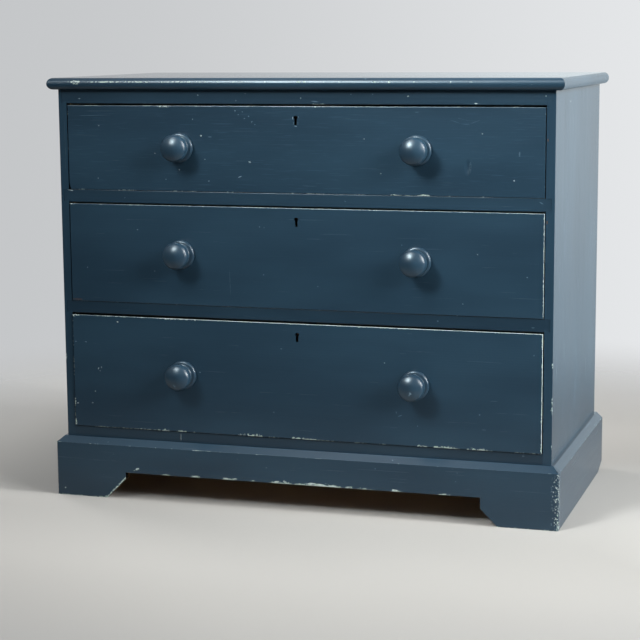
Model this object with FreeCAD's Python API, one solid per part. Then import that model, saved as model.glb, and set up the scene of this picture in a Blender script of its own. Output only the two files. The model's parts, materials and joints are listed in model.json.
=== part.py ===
import FreeCAD, Part
import math
import os

# Painted chest of three long drawers on a plinth with bracket feet, in millimetres.
# X runs to the right, Y to the back, Z up. Pieces are drawn with Y = 0 on the front face of
# the case, and are moved back when saved so that the origin is on the floor under the middle.

# Case
case_width = 940.0
case_depth = 485.0
side_thickness = 16.0
side_foot_height = 30.0
side_housing_depth = 6.0
side_housing_stop = 25.0
bottom_thickness = 20.0
bottom_lap = 0.5

# Top board, nosed on the front and both ends
top_thickness = 22.0
top_front_overhang = 15.0
top_side_overhang = 17.0
top_back_overhang = 6.0
top_nose_flat = 1.0

# Rails across the front, dovetailed into the front edges of the sides
rail_thickness = 23.0
rail_depth = 60.0
top_rail_height = 25.8
rail_tail_lap = 5.5
rail_tail_slope = 5.0
rail_tail_depth = 30.0
upper_rail_setback = 0.8
lower_rail_setback = 0.3

# Back, runners and kickers
back_thickness = 10.0
back_board_count = 4
back_board_gap = 1.0
back_rebate_width = 8.0
back_edge_clearance = 0.5
rear_rail_thickness = 20.0
runner_width = 24.0

# Plinth, mitred at the front corners, with a chamfer on its top edge
plinth_height = 115.0
plinth_thickness = 17.0
plinth_chamfer_width = 12.0
plinth_chamfer_drop = 11.0
arch_half_width = 344.5
arch_height = 51.5
left_foot_step = 12.0
right_foot_step = 20.0
foot_slope_degrees = 45.0
heel_cut_length = 48.0
heel_cut_height = 14.0
corner_block_leg = 55.0
glue_block_section = 25.0
glue_block_length = 70.0
glue_block_spacing = 200.0

# Drawers, from the top one down: front heights and how far each stands out of the case
top_drawer_height = 157.5
middle_drawer_height = 185.5
bottom_drawer_height = 216.0
top_drawer_proud = 0.0
middle_drawer_proud = 1.5
bottom_drawer_proud = 3.0
drawer_top_gap = 3.0
drawer_side_gap = 1.5
drawer_run_gap = 0.4
drawer_rear_room = 20.0
front_thickness = 22.0
front_lap = 8.0
drawer_side_thickness = 12.0
drawer_side_drop = 4.0
drawer_back_thickness = 10.0
drawer_back_inset = 12.0
drawer_back_drop = 8.0
drawer_back_housing = 4.0
drawer_bottom_thickness = 8.0
bottom_groove_lip = 10.0
bottom_groove_depth = 5.0
bottom_groove_clearance = 0.3
top_drawer_tails = 3
middle_drawer_tails = 4
bottom_drawer_tails = 4
tail_edge = 8.0
tail_width = 30.0
tail_neck = 22.0

# Drawer stops, fixed behind the drawer fronts
stop_length = 40.0
stop_depth = 18.0
stop_clearance = 3.0
stop_gap = 0.3
stop_spread = 300.0

# Turned knobs
knob_spread = 225.5
knob_shift = -1.7
knob_rise = 2.0
bottom_right_knob_aside = -2.7
bottom_right_knob_raise = 3.4
knob_collar_radius = 27.0
knob_collar_thickness = 9.0
knob_cove_radius = 4.5
knob_ball_radius = 25.0
knob_crown_depth = 15.17
knob_crown_flattening = 4.35
knob_tenon_radius = 9.0
knob_tenon_clearance = 0.1

# Drawer locks, keyholes and the mortises for their bolts
lock_offset = -2.2
lock_width = 64.0
lock_sole = 6.0
lock_cap_thickness = 1.6
lock_plate_thickness = 2.2
bolt_width = 34.0
bolt_thickness = 6.0
bolt_travel = 8.0
bolt_clearance = 0.4
bolt_pin_gap = 3.0
mortise_clearance = 1.0
keyhole_drop = 17.0
keyhole_height = 17.0
keyhole_radius = 2.8
keyhole_slot_width = 3.4
key_clearance = 0.8
lock_pin_radius = 1.5
lock_pin_recess = 6.0

# Screws and nails
lock_screw_radius = 1.4
lock_screw_head_radius = 2.8
lock_screw_head_height = 1.4
lock_screw_bite = 5.0
lock_screw_edge = 6.0
top_screw_radius = 2.0
top_screw_head_radius = 4.0
top_screw_head_height = 3.0
top_screw_pocket = 8.0
top_screw_bite = 12.0
top_screw_spread = 320.0
nail_radius = 1.2
nail_length = 28.0
nail_head_radius = 3.0
nail_head_height = 0.8
nail_spread = 70.0
fastener_clearance = 0.05

# Places that follow from the sizes above
half_case = case_width / 2
half_opening = half_case - side_thickness
half_drawer = half_opening - drawer_side_gap
back_inner = case_depth - back_thickness
drawer_depth = back_inner - drawer_rear_room
rail_tail_length = side_thickness - rail_tail_lap
bottom_underside = plinth_height - bottom_lap
bottom_floor = bottom_underside + bottom_thickness
drawer_gaps = drawer_run_gap + drawer_top_gap
lower_rail_level = bottom_floor + bottom_drawer_height + drawer_gaps
middle_floor = lower_rail_level + rail_thickness
upper_rail_level = middle_floor + middle_drawer_height + drawer_gaps
top_floor = upper_rail_level + rail_thickness
top_rail_level = top_floor + top_drawer_height + drawer_gaps
case_top = top_rail_level + top_rail_height
stop_height = bottom_groove_lip - stop_clearance
bolt_height = keyhole_drop - bolt_pin_gap
keyhole_centre_drop = keyhole_drop + keyhole_radius
key_room = keyhole_height - keyhole_radius + key_clearance
lock_height = keyhole_drop + keyhole_height + lock_sole
lock_room = bolt_thickness + 2 * bolt_clearance
lock_depth = lock_cap_thickness + lock_room + lock_plate_thickness
knob_collar_flat = knob_collar_radius - knob_collar_thickness / 2
knob_neck_radius = knob_collar_flat - knob_cove_radius
knob_neck_distance = knob_collar_thickness + knob_cove_radius
knob_ball_distance = knob_neck_distance + math.sqrt(knob_ball_radius ** 2 - knob_neck_radius ** 2)
knob_projection = knob_ball_distance + knob_crown_depth
knob_shoulder_radius = knob_crown_depth - knob_crown_flattening
knob_shoulder_centre = knob_ball_radius - knob_shoulder_radius
knob_crown_span = knob_shoulder_centre ** 2 + knob_crown_depth ** 2 - knob_shoulder_radius ** 2
knob_crown_radius = knob_crown_span / (2 * knob_crown_flattening)
knob_crown_turn = math.acos(knob_shoulder_centre / (knob_crown_radius - knob_shoulder_radius))
knob_reach = knob_projection + max(top_drawer_proud, middle_drawer_proud, bottom_drawer_proud)
front_reach = max(knob_reach, top_front_overhang, plinth_thickness)
case_front_y = (front_reach - case_depth - top_back_overhang) / 2

X_AXIS = FreeCAD.Vector(1, 0, 0)
Y_AXIS = FreeCAD.Vector(0, 1, 0)
Z_AXIS = FreeCAD.Vector(0, 0, 1)
ORIGIN = FreeCAD.Vector(0, 0, 0)


def block(x0, x1, y0, y1, z0, z1):
    """A plain board between two opposite corners."""
    return Part.makeBox(x1 - x0, y1 - y0, z1 - z0, FreeCAD.Vector(x0, y0, z0))


def prism(points, travel):
    """A closed outline of straight edges, drawn out along a vector."""
    corners = [FreeCAD.Vector(*point) for point in points]
    outline = Part.makePolygon(corners + corners[:1])
    return Part.Face(outline).extrude(travel)


def rod(radius, start, direction, length):
    return Part.makeCylinder(radius, length, FreeCAD.Vector(*start), direction)


def mirrored(shape):
    """The same piece for the other hand, across the middle of the chest."""
    return shape.mirror(ORIGIN, X_AXIS)


def joined(shapes):
    """Several shapes fused to one clean solid."""
    body = shapes[0]
    for shape in shapes[1:]:
        body = body.fuse(shape)
    return body.removeSplitter()


def less(body, cutters):
    for cutter in cutters:
        body = body.cut(cutter)
    return body


def save(name, shape):
    """Writes one piece, moved from the case's front face to the shared origin."""
    placed = shape.copy()
    placed.translate(FreeCAD.Vector(0, case_front_y, 0))
    placed.exportStep(os.path.join("parts", name + ".step"))


def headed_pin(start, direction, radius, length, head_radius, head_height, clearance=0.0):
    """A nail or screw: its head runs out from the start point, its shank runs in."""
    shank = rod(radius + clearance, start, direction, length)
    head = rod(head_radius + clearance, start, direction * -1, head_height)
    return shank.fuse(head)


# Fasteners, made first because the boards that they hold are bored for them
def top_screw(x, y, clearance=0.0):
    """A screw up through a rail into the top board, its head at the bottom of a pocket."""
    start = (x, y, top_rail_level + top_screw_pocket)
    length = top_rail_height - top_screw_pocket + top_screw_bite
    head_height = top_screw_pocket if clearance else top_screw_head_height
    return headed_pin(start, Z_AXIS, top_screw_radius, length, top_screw_head_radius,
                      head_height, clearance)


def back_nail(x, z, clearance=0.0):
    """A nail through a back board, its head on the outside."""
    start = (x, case_depth, z)
    return headed_pin(start, Y_AXIS * -1, nail_radius, nail_length, nail_head_radius,
                      nail_head_height, clearance)


def lock_screw(x, z, inner_y, clearance=0.0):
    """A screw through a lock into the drawer front, its head sunk in the lock plate."""
    start = (x, inner_y - lock_screw_head_height, z)
    length = lock_depth - lock_screw_head_height + lock_screw_bite
    return headed_pin(start, Y_AXIS * -1, lock_screw_radius, length, lock_screw_head_radius,
                      lock_screw_head_height, clearance)


top_screw_places = [
    (x, y)
    for y in (rail_depth / 2, back_inner - rear_rail_thickness / 2)
    for x in (-top_screw_spread, top_screw_spread)
]
top_screw_holes = [top_screw(x, y, fastener_clearance) for x, y in top_screw_places]

back_half_width = half_opening + back_rebate_width - back_edge_clearance
back_board_pitch = (2 * back_half_width + back_board_gap) / back_board_count
back_board_width = back_board_pitch - back_board_gap
back_board_starts = [-back_half_width + n * back_board_pitch for n in range(back_board_count)]
nail_places = [
    (start + back_board_width / 2 + side * nail_spread, z)
    for start in back_board_starts
    for z in (top_rail_level + top_rail_height / 2, bottom_floor - bottom_thickness / 2)
    for side in (-1, 1)
]
nail_holes = [back_nail(x, z, fastener_clearance) for x, z in nail_places]


# Case pieces
def top_board():
    """The overhanging top: a front nosing and two end nosings, meeting at mitred corners."""
    half_width = half_case + top_side_overhang
    nose = (top_thickness - top_nose_flat) / 2
    slab = block(-half_width, half_width, -top_front_overhang, case_depth + top_back_overhang,
                 case_top, case_top + top_thickness)
    front_edges = [
        edge for edge in slab.Edges
        if edge.BoundBox.YMax < 0 and edge.BoundBox.XLength > half_width
    ]
    end_edges = [edge for edge in slab.Edges if edge.BoundBox.YLength > case_depth]
    board = slab.makeFillet(nose, front_edges).common(slab.makeFillet(nose, end_edges))
    return less(board, top_screw_holes)


def rail_tail(level, thickness, setback):
    """The half dovetail on a rail's right end: level above, sloping down to its end below."""
    end = half_opening + rail_tail_length
    outline = [
        (half_opening, setback, level + rail_tail_slope),
        (end, setback, level),
        (end, setback, level + thickness),
        (half_opening, setback, level + thickness),
    ]
    return prism(outline, FreeCAD.Vector(0, rail_tail_depth - setback, 0))


def front_rail(level, thickness, setback, mortise):
    """A rail across the front, with its two dovetails and the mortise for a lock bolt."""
    rail = block(-half_opening, half_opening, setback, rail_depth, level, level + thickness)
    tail = rail_tail(level, thickness, setback)
    return joined([rail, tail, mirrored(tail)]).cut(mortise)


def bottom_board():
    """The bottom of the case: between the sides in front, housed into them behind."""
    front = block(-half_opening, half_opening, 0, side_housing_stop, bottom_underside, bottom_floor)
    half_housed = half_opening + side_housing_depth
    rear = block(-half_housed, half_housed, side_housing_stop, back_inner,
                 bottom_underside, bottom_floor)
    return joined([front, rear]).cut(Part.makeCompound(nail_holes))


def right_side():
    """A solid side, rebated for the back, housed for the bottom and socketed for the rails."""
    board = block(half_opening, half_case, 0, case_depth, side_foot_height, case_top)
    rebate = block(half_opening, half_opening + back_rebate_width, back_inner, case_depth,
                   side_foot_height, case_top)
    housing = block(half_opening, half_opening + side_housing_depth, side_housing_stop, back_inner,
                    bottom_underside, bottom_floor)
    sockets = [
        rail_tail(lower_rail_level, rail_thickness, 0),
        rail_tail(upper_rail_level, rail_thickness, 0),
        rail_tail(top_rail_level, top_rail_height, 0),
    ]
    return less(board, [rebate, housing] + sockets)


def rear_rail(low, high):
    rail = block(-half_opening, half_opening, back_inner - rear_rail_thickness, back_inner, low, high)
    return less(rail, nail_holes + top_screw_holes)


def right_runner(floor):
    """A runner behind a drawer rail, level with it, along the inside of the case."""
    return block(half_opening - runner_width, half_opening, rail_depth, back_inner,
                 floor - rail_thickness, floor)


def right_kicker():
    return block(half_opening - runner_width, half_opening, rail_depth,
                 back_inner - rear_rail_thickness, top_rail_level, case_top)


def drawer_stops(floor, proud):
    """Two blocks on a rail that the drawer front closes against."""
    front = front_thickness - proud + stop_gap
    stop = block(stop_spread - stop_length / 2, stop_spread + stop_length / 2,
                 front, front + stop_depth, floor, floor + stop_height)
    return Part.makeCompound([mirrored(stop), stop])


def back_board(start):
    board = block(start, start + back_board_width, back_inner, case_depth, side_foot_height, case_top)
    return less(board, nail_holes)


# Plinth pieces
def plinth_section(across, outward):
    """The plinth's section from its inner face outwards, as points for a given direction."""
    steps = [
        (0, 0),
        (plinth_thickness, 0),
        (plinth_thickness, plinth_height - plinth_chamfer_drop),
        (plinth_thickness - plinth_chamfer_width, plinth_height),
        (0, plinth_height),
    ]
    return [across + outward * out + Z_AXIS * up for out, up in steps]


def plinth_front():
    """The front of the plinth: mitred ends, and an arch that leaves two bracket feet."""
    outer = half_case + plinth_thickness
    start = FreeCAD.Vector(-outer, 0, 0)
    board = prism(plinth_section(start, Y_AXIS * -1), X_AXIS * (2 * outer))
    plan = [
        (-half_case, 0, 0),
        (half_case, 0, 0),
        (outer, -plinth_thickness, 0),
        (-outer, -plinth_thickness, 0),
    ]
    slope = math.tan(math.radians(foot_slope_degrees))
    left_rise = arch_height - left_foot_step
    right_rise = arch_height - right_foot_step
    arch = [
        (-arch_half_width - left_rise / slope, 0, 0),
        (-arch_half_width, 0, left_rise),
        (-arch_half_width, 0, arch_height),
        (arch_half_width, 0, arch_height),
        (arch_half_width, 0, right_rise),
        (arch_half_width + right_rise / slope, 0, 0),
    ]
    mitred = board.common(prism(plan, Z_AXIS * plinth_height))
    return mitred.cut(prism(arch, Y_AXIS * -plinth_thickness))


def plinth_right():
    """The right side of the plinth, mitred in front, its heel eased at the back."""
    outer = half_case + plinth_thickness
    start = FreeCAD.Vector(half_case, -plinth_thickness, 0)
    board = prism(plinth_section(start, X_AXIS), Y_AXIS * (case_depth + plinth_thickness))
    plan = [
        (half_case, 0, 0),
        (outer, -plinth_thickness, 0),
        (outer, case_depth, 0),
        (half_case, case_depth, 0),
    ]
    heel = [
        (half_case, case_depth - heel_cut_length, 0),
        (half_case, case_depth, 0),
        (half_case, case_depth, heel_cut_height),
    ]
    mitred = board.common(prism(plan, Z_AXIS * plinth_height))
    return mitred.cut(prism(heel, X_AXIS * plinth_thickness))


def corner_blocks():
    """Three-cornered blocks glued into the front corners of the base."""
    outline = [
        (half_opening, 0, side_foot_height),
        (half_opening, corner_block_leg, side_foot_height),
        (half_opening - corner_block_leg, 0, side_foot_height),
    ]
    corner = prism(outline, Z_AXIS * (bottom_underside - side_foot_height))
    return Part.makeCompound([mirrored(corner), corner])


def glue_blocks():
    """Blocks glued under the bottom board, along the back of the plinth front."""
    blocks = []
    for place in (-glue_block_spacing, 0, glue_block_spacing):
        blocks.append(block(place - glue_block_length / 2, place + glue_block_length / 2,
                            0, glue_block_section,
                            bottom_underside - glue_block_section, bottom_underside))
    return Part.makeCompound(blocks)


# Drawer pieces
class Drawer:
    """One drawer's places, all taken from the floor it runs on and from its front."""

    def __init__(self, name, floor, height, proud, tail_count, right_knob_set=(0, 0)):
        self.name = name
        self.tail_count = tail_count
        self.floor = floor
        self.proud = proud
        self.low = floor + drawer_run_gap
        self.high = self.low + height
        self.face = -proud
        self.inner = front_thickness - proud
        self.rear = drawer_depth - proud
        self.side_high = self.high - drawer_side_drop
        self.panel_low = self.low + bottom_groove_lip
        self.panel_high = self.panel_low + drawer_bottom_thickness
        self.groove_high = self.panel_high + bottom_groove_clearance
        self.back_rear = self.rear - drawer_back_inset
        self.back_front = self.back_rear - drawer_back_thickness
        self.half_inside = half_drawer - drawer_side_thickness
        self.half_panel = self.half_inside + bottom_groove_depth - bottom_groove_clearance
        self.ceiling = self.high + drawer_top_gap
        self.key_level = self.high - keyhole_centre_drop
        self.lock_front = self.inner - lock_depth
        self.room_front = self.lock_front + lock_cap_thickness
        self.room_rear = self.room_front + lock_room
        self.screw_places = [
            (lock_offset + side * (lock_width / 2 - lock_screw_edge), level)
            for side in (-1, 1)
            for level in (self.high - lock_screw_edge, self.high - lock_height + lock_screw_edge)
        ]
        knob_level = (self.low + self.high) / 2 + knob_rise
        aside, higher = right_knob_set
        self.left_knob_spot = (knob_shift - knob_spread, knob_level)
        self.right_knob_spot = (knob_shift + knob_spread + aside, knob_level + higher)

    def tails(self):
        """The lapped dovetails on the right side, the lowest one hiding the bottom's groove."""
        lowest = self.low + tail_edge + tail_width / 2
        highest = self.side_high - tail_edge - tail_width / 2
        pitch = (highest - lowest) / (self.tail_count - 1)
        lap = self.face + front_lap
        shapes = []
        for n in range(self.tail_count):
            middle = lowest + n * pitch
            outline = [
                (self.half_inside, self.inner, middle - tail_neck / 2),
                (self.half_inside, lap, middle - tail_width / 2),
                (self.half_inside, lap, middle + tail_width / 2),
                (self.half_inside, self.inner, middle + tail_neck / 2),
            ]
            shapes.append(prism(outline, X_AXIS * drawer_side_thickness))
        return shapes

    def keyhole(self, front, rear):
        """The keyhole's round head and the slot below it, cut between two depths."""
        depth = rear - front
        head = rod(keyhole_radius, (lock_offset, front, self.key_level), Y_AXIS, depth)
        slot = block(lock_offset - keyhole_slot_width / 2, lock_offset + keyhole_slot_width / 2,
                     front, rear, self.high - keyhole_drop - keyhole_height, self.key_level)
        return head.fuse(slot)

    def bolt_space(self, clearance, low, high):
        """The bolt's own block, wider all round by a clearance, between two levels."""
        half_width = bolt_width / 2 + clearance
        spread = bolt_clearance - clearance
        return block(lock_offset - half_width, lock_offset + half_width,
                     self.room_front + spread, self.room_rear - spread, low, high)

    def mortise(self):
        """The hole in the rail above that takes the thrown bolt."""
        top = self.high + bolt_travel + mortise_clearance
        return self.bolt_space(mortise_clearance, self.ceiling, max(top, self.ceiling + mortise_clearance))

    def lock_box(self):
        half_width = lock_width / 2
        return block(lock_offset - half_width, lock_offset + half_width,
                     self.lock_front, self.inner, self.high - lock_height, self.high)

    def front(self):
        """The drawer front, bored for its knobs, cut for its lock and socketed for its sides."""
        board = block(-half_drawer, half_drawer, self.face, self.inner, self.low, self.high)
        groove = block(-self.half_inside, self.half_inside, self.inner - bottom_groove_depth, self.inner,
                       self.panel_low, self.groove_high)
        bores = [
            rod(knob_tenon_radius + knob_tenon_clearance, (x, self.face, level), Y_AXIS, front_thickness)
            for x, level in (self.left_knob_spot, self.right_knob_spot)
        ]
        sockets = self.tails()
        sockets += [mirrored(tail) for tail in sockets]
        screw_holes = [lock_screw(x, z, self.inner, fastener_clearance) for x, z in self.screw_places]
        cutters = [groove, self.lock_box(), self.keyhole(self.face, self.lock_front)]
        return less(board, cutters + bores + sockets + screw_holes)

    def right_side(self):
        """A drawer side: tails in front, a groove for the bottom, a housing for the back."""
        board = block(self.half_inside, half_drawer, self.inner, self.rear, self.low, self.side_high)
        groove = block(self.half_inside, self.half_inside + bottom_groove_depth, self.inner,
                       self.rear, self.panel_low, self.groove_high)
        housing = block(self.half_inside, self.half_inside + drawer_back_housing, self.back_front,
                        self.back_rear, self.groove_high, self.side_high)
        return less(joined([board] + self.tails()), [groove, housing])

    def back(self):
        half_width = self.half_inside + drawer_back_housing
        return block(-half_width, half_width, self.back_front, self.back_rear,
                     self.groove_high, self.side_high - drawer_back_drop)

    def bottom(self):
        """The bottom panel, narrowed where it enters the groove in the front."""
        panel_front = self.inner - bottom_groove_depth + bottom_groove_clearance
        half_nose = self.half_inside - bottom_groove_clearance
        nose = block(-half_nose, half_nose, panel_front, self.inner, self.panel_low, self.panel_high)
        panel = block(-self.half_panel, self.half_panel, self.inner, self.back_rear,
                      self.panel_low, self.panel_high)
        return joined([nose, panel])

    def knob(self, x, level):
        """A turned knob: a round-edged collar, a cove, a ball with a flattened crown, a tenon."""

        def place(radius, distance):
            return FreeCAD.Vector(x + radius, self.face - distance, level)

        def line(start, end):
            return Part.makeLine(place(*start), place(*end))

        def arc(centre_radius, centre_distance, radius, start, end):
            points = [
                place(centre_radius + radius * math.cos(angle), centre_distance + radius * math.sin(angle))
                for angle in (start, (start + end) / 2, end)
            ]
            return Part.Arc(*points).toShape()

        quarter = math.pi / 2
        rim = knob_collar_thickness / 2
        back_turn = -math.acos(knob_neck_radius / knob_ball_radius)
        profile = Part.Wire(Part.__sortEdges__([
            line((0, knob_projection), (0, -front_thickness)),
            line((0, -front_thickness), (knob_tenon_radius, -front_thickness)),
            line((knob_tenon_radius, -front_thickness), (knob_tenon_radius, 0)),
            line((knob_tenon_radius, 0), (knob_collar_flat, 0)),
            arc(knob_collar_flat, rim, rim, -quarter, quarter),
            arc(knob_collar_flat, knob_neck_distance, knob_cove_radius, -quarter, -2 * quarter),
            arc(0, knob_ball_distance, knob_ball_radius, back_turn, 0),
            arc(knob_shoulder_centre, knob_ball_distance, knob_shoulder_radius, 0, knob_crown_turn),
            arc(0, knob_projection - knob_crown_radius, knob_crown_radius, knob_crown_turn, quarter),
        ]))
        axis_foot = FreeCAD.Vector(x, self.face, level)
        return Part.Face(profile).revolve(axis_foot, Y_AXIS, 360)

    def lock_case(self):
        """The lock's case: room for the bolt and the key, a keyhole in its cap and a pin."""
        room = self.bolt_space(bolt_clearance, self.high - bolt_height - bolt_clearance, self.high)
        key_centre = (lock_offset, self.room_front, self.key_level)
        key_room_shape = rod(key_room, key_centre, Y_AXIS, lock_room)
        key_room_shape = key_room_shape.common(
            block(lock_offset - key_room, lock_offset + key_room, self.room_front, self.room_rear,
                  self.key_level - key_room, self.high - bolt_height - bolt_clearance))
        holes = [lock_screw(x, z, self.inner, fastener_clearance) for x, z in self.screw_places]
        keyway = self.keyhole(self.lock_front, self.room_front)
        shell = less(self.lock_box(), [room, key_room_shape, keyway] + holes)
        pin_tip = self.face + lock_pin_recess
        pin = rod(lock_pin_radius, (lock_offset, pin_tip, self.key_level), Y_AXIS,
                  self.room_rear - pin_tip)
        return shell.fuse(pin)

    def lock_bolt(self):
        return self.bolt_space(0, self.high - bolt_height, self.high)

    def lock_screws(self):
        return Part.makeCompound([lock_screw(x, z, self.inner) for x, z in self.screw_places])

    def write(self):
        """Saves every piece of this drawer, and the stops that it closes against."""
        side = self.right_side()
        pieces = {
            "front": self.front(),
            "left_side": mirrored(side),
            "right_side": side,
            "back": self.back(),
            "bottom": self.bottom(),
            "left_knob": self.knob(*self.left_knob_spot),
            "right_knob": self.knob(*self.right_knob_spot),
        }
        for piece, shape in pieces.items():
            save(self.name + "_drawer_" + piece, shape)
        save(self.name + "_lock_case", self.lock_case())
        save(self.name + "_lock_bolt", self.lock_bolt())
        save(self.name + "_lock_screws", self.lock_screws())
        save(self.name + "_drawer_stops", drawer_stops(self.floor, self.proud))


os.makedirs("parts", exist_ok=True)

drawers = [
    Drawer("top", top_floor, top_drawer_height, top_drawer_proud, top_drawer_tails),
    Drawer("middle", middle_floor, middle_drawer_height, middle_drawer_proud, middle_drawer_tails),
    Drawer("bottom", bottom_floor, bottom_drawer_height, bottom_drawer_proud, bottom_drawer_tails,
           (bottom_right_knob_aside, bottom_right_knob_raise)),
]
top_drawer, middle_drawer, bottom_drawer = drawers
for drawer in drawers:
    drawer.write()

top_rail = front_rail(top_rail_level, top_rail_height, 0, top_drawer.mortise())
save("top_rail", less(top_rail, top_screw_holes))
save("upper_drawer_rail",
     front_rail(upper_rail_level, rail_thickness, upper_rail_setback, middle_drawer.mortise()))
save("lower_drawer_rail",
     front_rail(lower_rail_level, rail_thickness, lower_rail_setback, bottom_drawer.mortise()))

paired_pieces = {
    "case_side": right_side(),
    "plinth_side": plinth_right(),
    "upper_runner": right_runner(top_floor),
    "lower_runner": right_runner(middle_floor),
    "kicker": right_kicker(),
}
for name, shape in paired_pieces.items():
    save("right_" + name, shape)
    save("left_" + name, mirrored(shape))

save("top_board", top_board())
save("bottom_board", bottom_board())
save("rear_top_rail", rear_rail(top_rail_level, case_top))
save("rear_base_rail", rear_rail(side_foot_height, bottom_underside))
save("plinth_front", plinth_front())
save("plinth_corner_blocks", corner_blocks())
save("plinth_glue_blocks", glue_blocks())
for number, start in enumerate(back_board_starts, 1):
    save("back_board_" + str(number), back_board(start))
save("back_nails", Part.makeCompound([back_nail(x, z) for x, z in nail_places]))
save("top_screws", Part.makeCompound([top_screw(x, y) for x, y in top_screw_places]))
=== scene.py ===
import json
import math
import random

import bpy
import bmesh
import numpy as np
from mathutils import Matrix, Vector
from mathutils.geometry import delaunay_2d_cdt


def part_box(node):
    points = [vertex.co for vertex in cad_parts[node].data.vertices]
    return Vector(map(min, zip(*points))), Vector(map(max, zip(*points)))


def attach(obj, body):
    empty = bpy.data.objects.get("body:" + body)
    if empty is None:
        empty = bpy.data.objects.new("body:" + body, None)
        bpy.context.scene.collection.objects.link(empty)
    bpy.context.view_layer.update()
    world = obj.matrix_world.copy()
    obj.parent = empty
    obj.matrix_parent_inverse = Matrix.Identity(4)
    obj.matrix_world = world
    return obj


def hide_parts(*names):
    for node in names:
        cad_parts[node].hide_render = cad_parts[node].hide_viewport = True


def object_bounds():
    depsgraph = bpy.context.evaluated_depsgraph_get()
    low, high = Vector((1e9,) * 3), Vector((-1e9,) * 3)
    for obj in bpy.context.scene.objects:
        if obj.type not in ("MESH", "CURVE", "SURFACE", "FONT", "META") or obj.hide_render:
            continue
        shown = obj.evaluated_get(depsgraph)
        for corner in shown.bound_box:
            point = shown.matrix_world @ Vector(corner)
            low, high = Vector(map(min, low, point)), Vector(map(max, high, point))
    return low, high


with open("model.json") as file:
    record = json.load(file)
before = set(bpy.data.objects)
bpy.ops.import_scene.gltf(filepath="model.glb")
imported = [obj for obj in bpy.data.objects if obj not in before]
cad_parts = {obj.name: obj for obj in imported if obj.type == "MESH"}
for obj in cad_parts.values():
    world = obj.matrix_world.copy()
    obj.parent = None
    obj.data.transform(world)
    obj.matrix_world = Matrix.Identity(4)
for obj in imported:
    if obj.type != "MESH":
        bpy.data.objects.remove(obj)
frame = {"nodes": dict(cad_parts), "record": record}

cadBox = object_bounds()
scene = bpy.context.scene
print("loaded", len(frame["nodes"]), "nodes of the chest")


# small helpers for node trees

def feed(tree, socket, value):
    if isinstance(value, bpy.types.NodeSocket):
        tree.links.new(value, socket)
    else:
        socket.default_value = value


def add(tree, kind, sockets=None, **settings):
    made = tree.nodes.new(kind)
    for key, value in settings.items():
        setattr(made, key, value)
    for key, value in (sockets or {}).items():
        feed(tree, made.inputs[key], value)
    return made


def calc(tree, operation, *values):
    return add(tree, "ShaderNodeMath", dict(enumerate(values)), operation=operation).outputs[0]


def remap(tree, value, low, high, toLow=0.0, toHigh=1.0):
    sockets = {"Value": value, "From Min": low, "From Max": high, "To Min": toLow, "To Max": toHigh}
    return add(tree, "ShaderNodeMapRange", sockets, interpolation_type="SMOOTHSTEP").outputs["Result"]


def blend(tree, amount, first, second):  # two colours mixed by an amount
    return add(tree, "ShaderNodeMix", {0: amount, 6: first, 7: second}, data_type="RGBA").outputs[2]


def between(tree, amount, first, second):  # two numbers mixed by an amount
    return add(tree, "ShaderNodeMix", {0: amount, 2: first, 3: second}, data_type="FLOAT").outputs[0]


def stretched(tree, vector, scale):
    return add(tree, "ShaderNodeVectorMath", {0: vector, 1: scale}, operation="MULTIPLY").outputs[0]


def speckle(tree, vector, scale, detail=2.0, roughness=0.5):
    sockets = {"Vector": vector, "Scale": scale, "Detail": detail, "Roughness": roughness}
    return add(tree, "ShaderNodeTexNoise", sockets).outputs["Fac"]


def attribute(tree, name, output="Fac"):
    return add(tree, "ShaderNodeAttribute", attribute_name=name).outputs[output]


def tone(red, green, blue):  # a colour as a picture shows it, 0 to 255, made linear
    linear = []
    for part in (red, green, blue):
        part = part / 255
        linear.append(part / 12.92 if part <= 0.04045 else ((part + 0.055) / 1.055) ** 2.4)
    return (*linear, 1.0)


def group(name, kind, inputs, outputs):
    tree = bpy.data.node_groups.new(name, kind)
    for label, socket in inputs:
        tree.interface.new_socket(label, in_out="INPUT", socket_type=socket)
    for label, socket in outputs:
        tree.interface.new_socket(label, in_out="OUTPUT", socket_type=socket)
    return tree, tree.nodes.new("NodeGroupInput"), tree.nodes.new("NodeGroupOutput")


def newMaterial(name):
    material = bpy.data.materials.new(name)
    material.use_nodes = True
    tree = material.node_tree
    return material, tree, tree.nodes["Principled BSDF"]


# pine: growth rings round a pith that lies off the board, so flat faces show arches

pine = {
    "early": tone(203, 166, 116),
    "late": tone(158, 112, 66),
    "stain": tone(120, 84, 52),
    "ringWidth": 0.0042,
    "pith": (0.0, 0.031, 0.058),
    "waver": 0.016,
    "drift": (1.3, 5.0, 5.0),
    "fibre": (9.0, 700.0, 700.0),
    "stainCloud": (2.0, 7.0, 7.0),
    "height": {"fibre": 0.00012, "ring": 0.00006},
    "roughnessSwing": 0.12,
}


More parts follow.
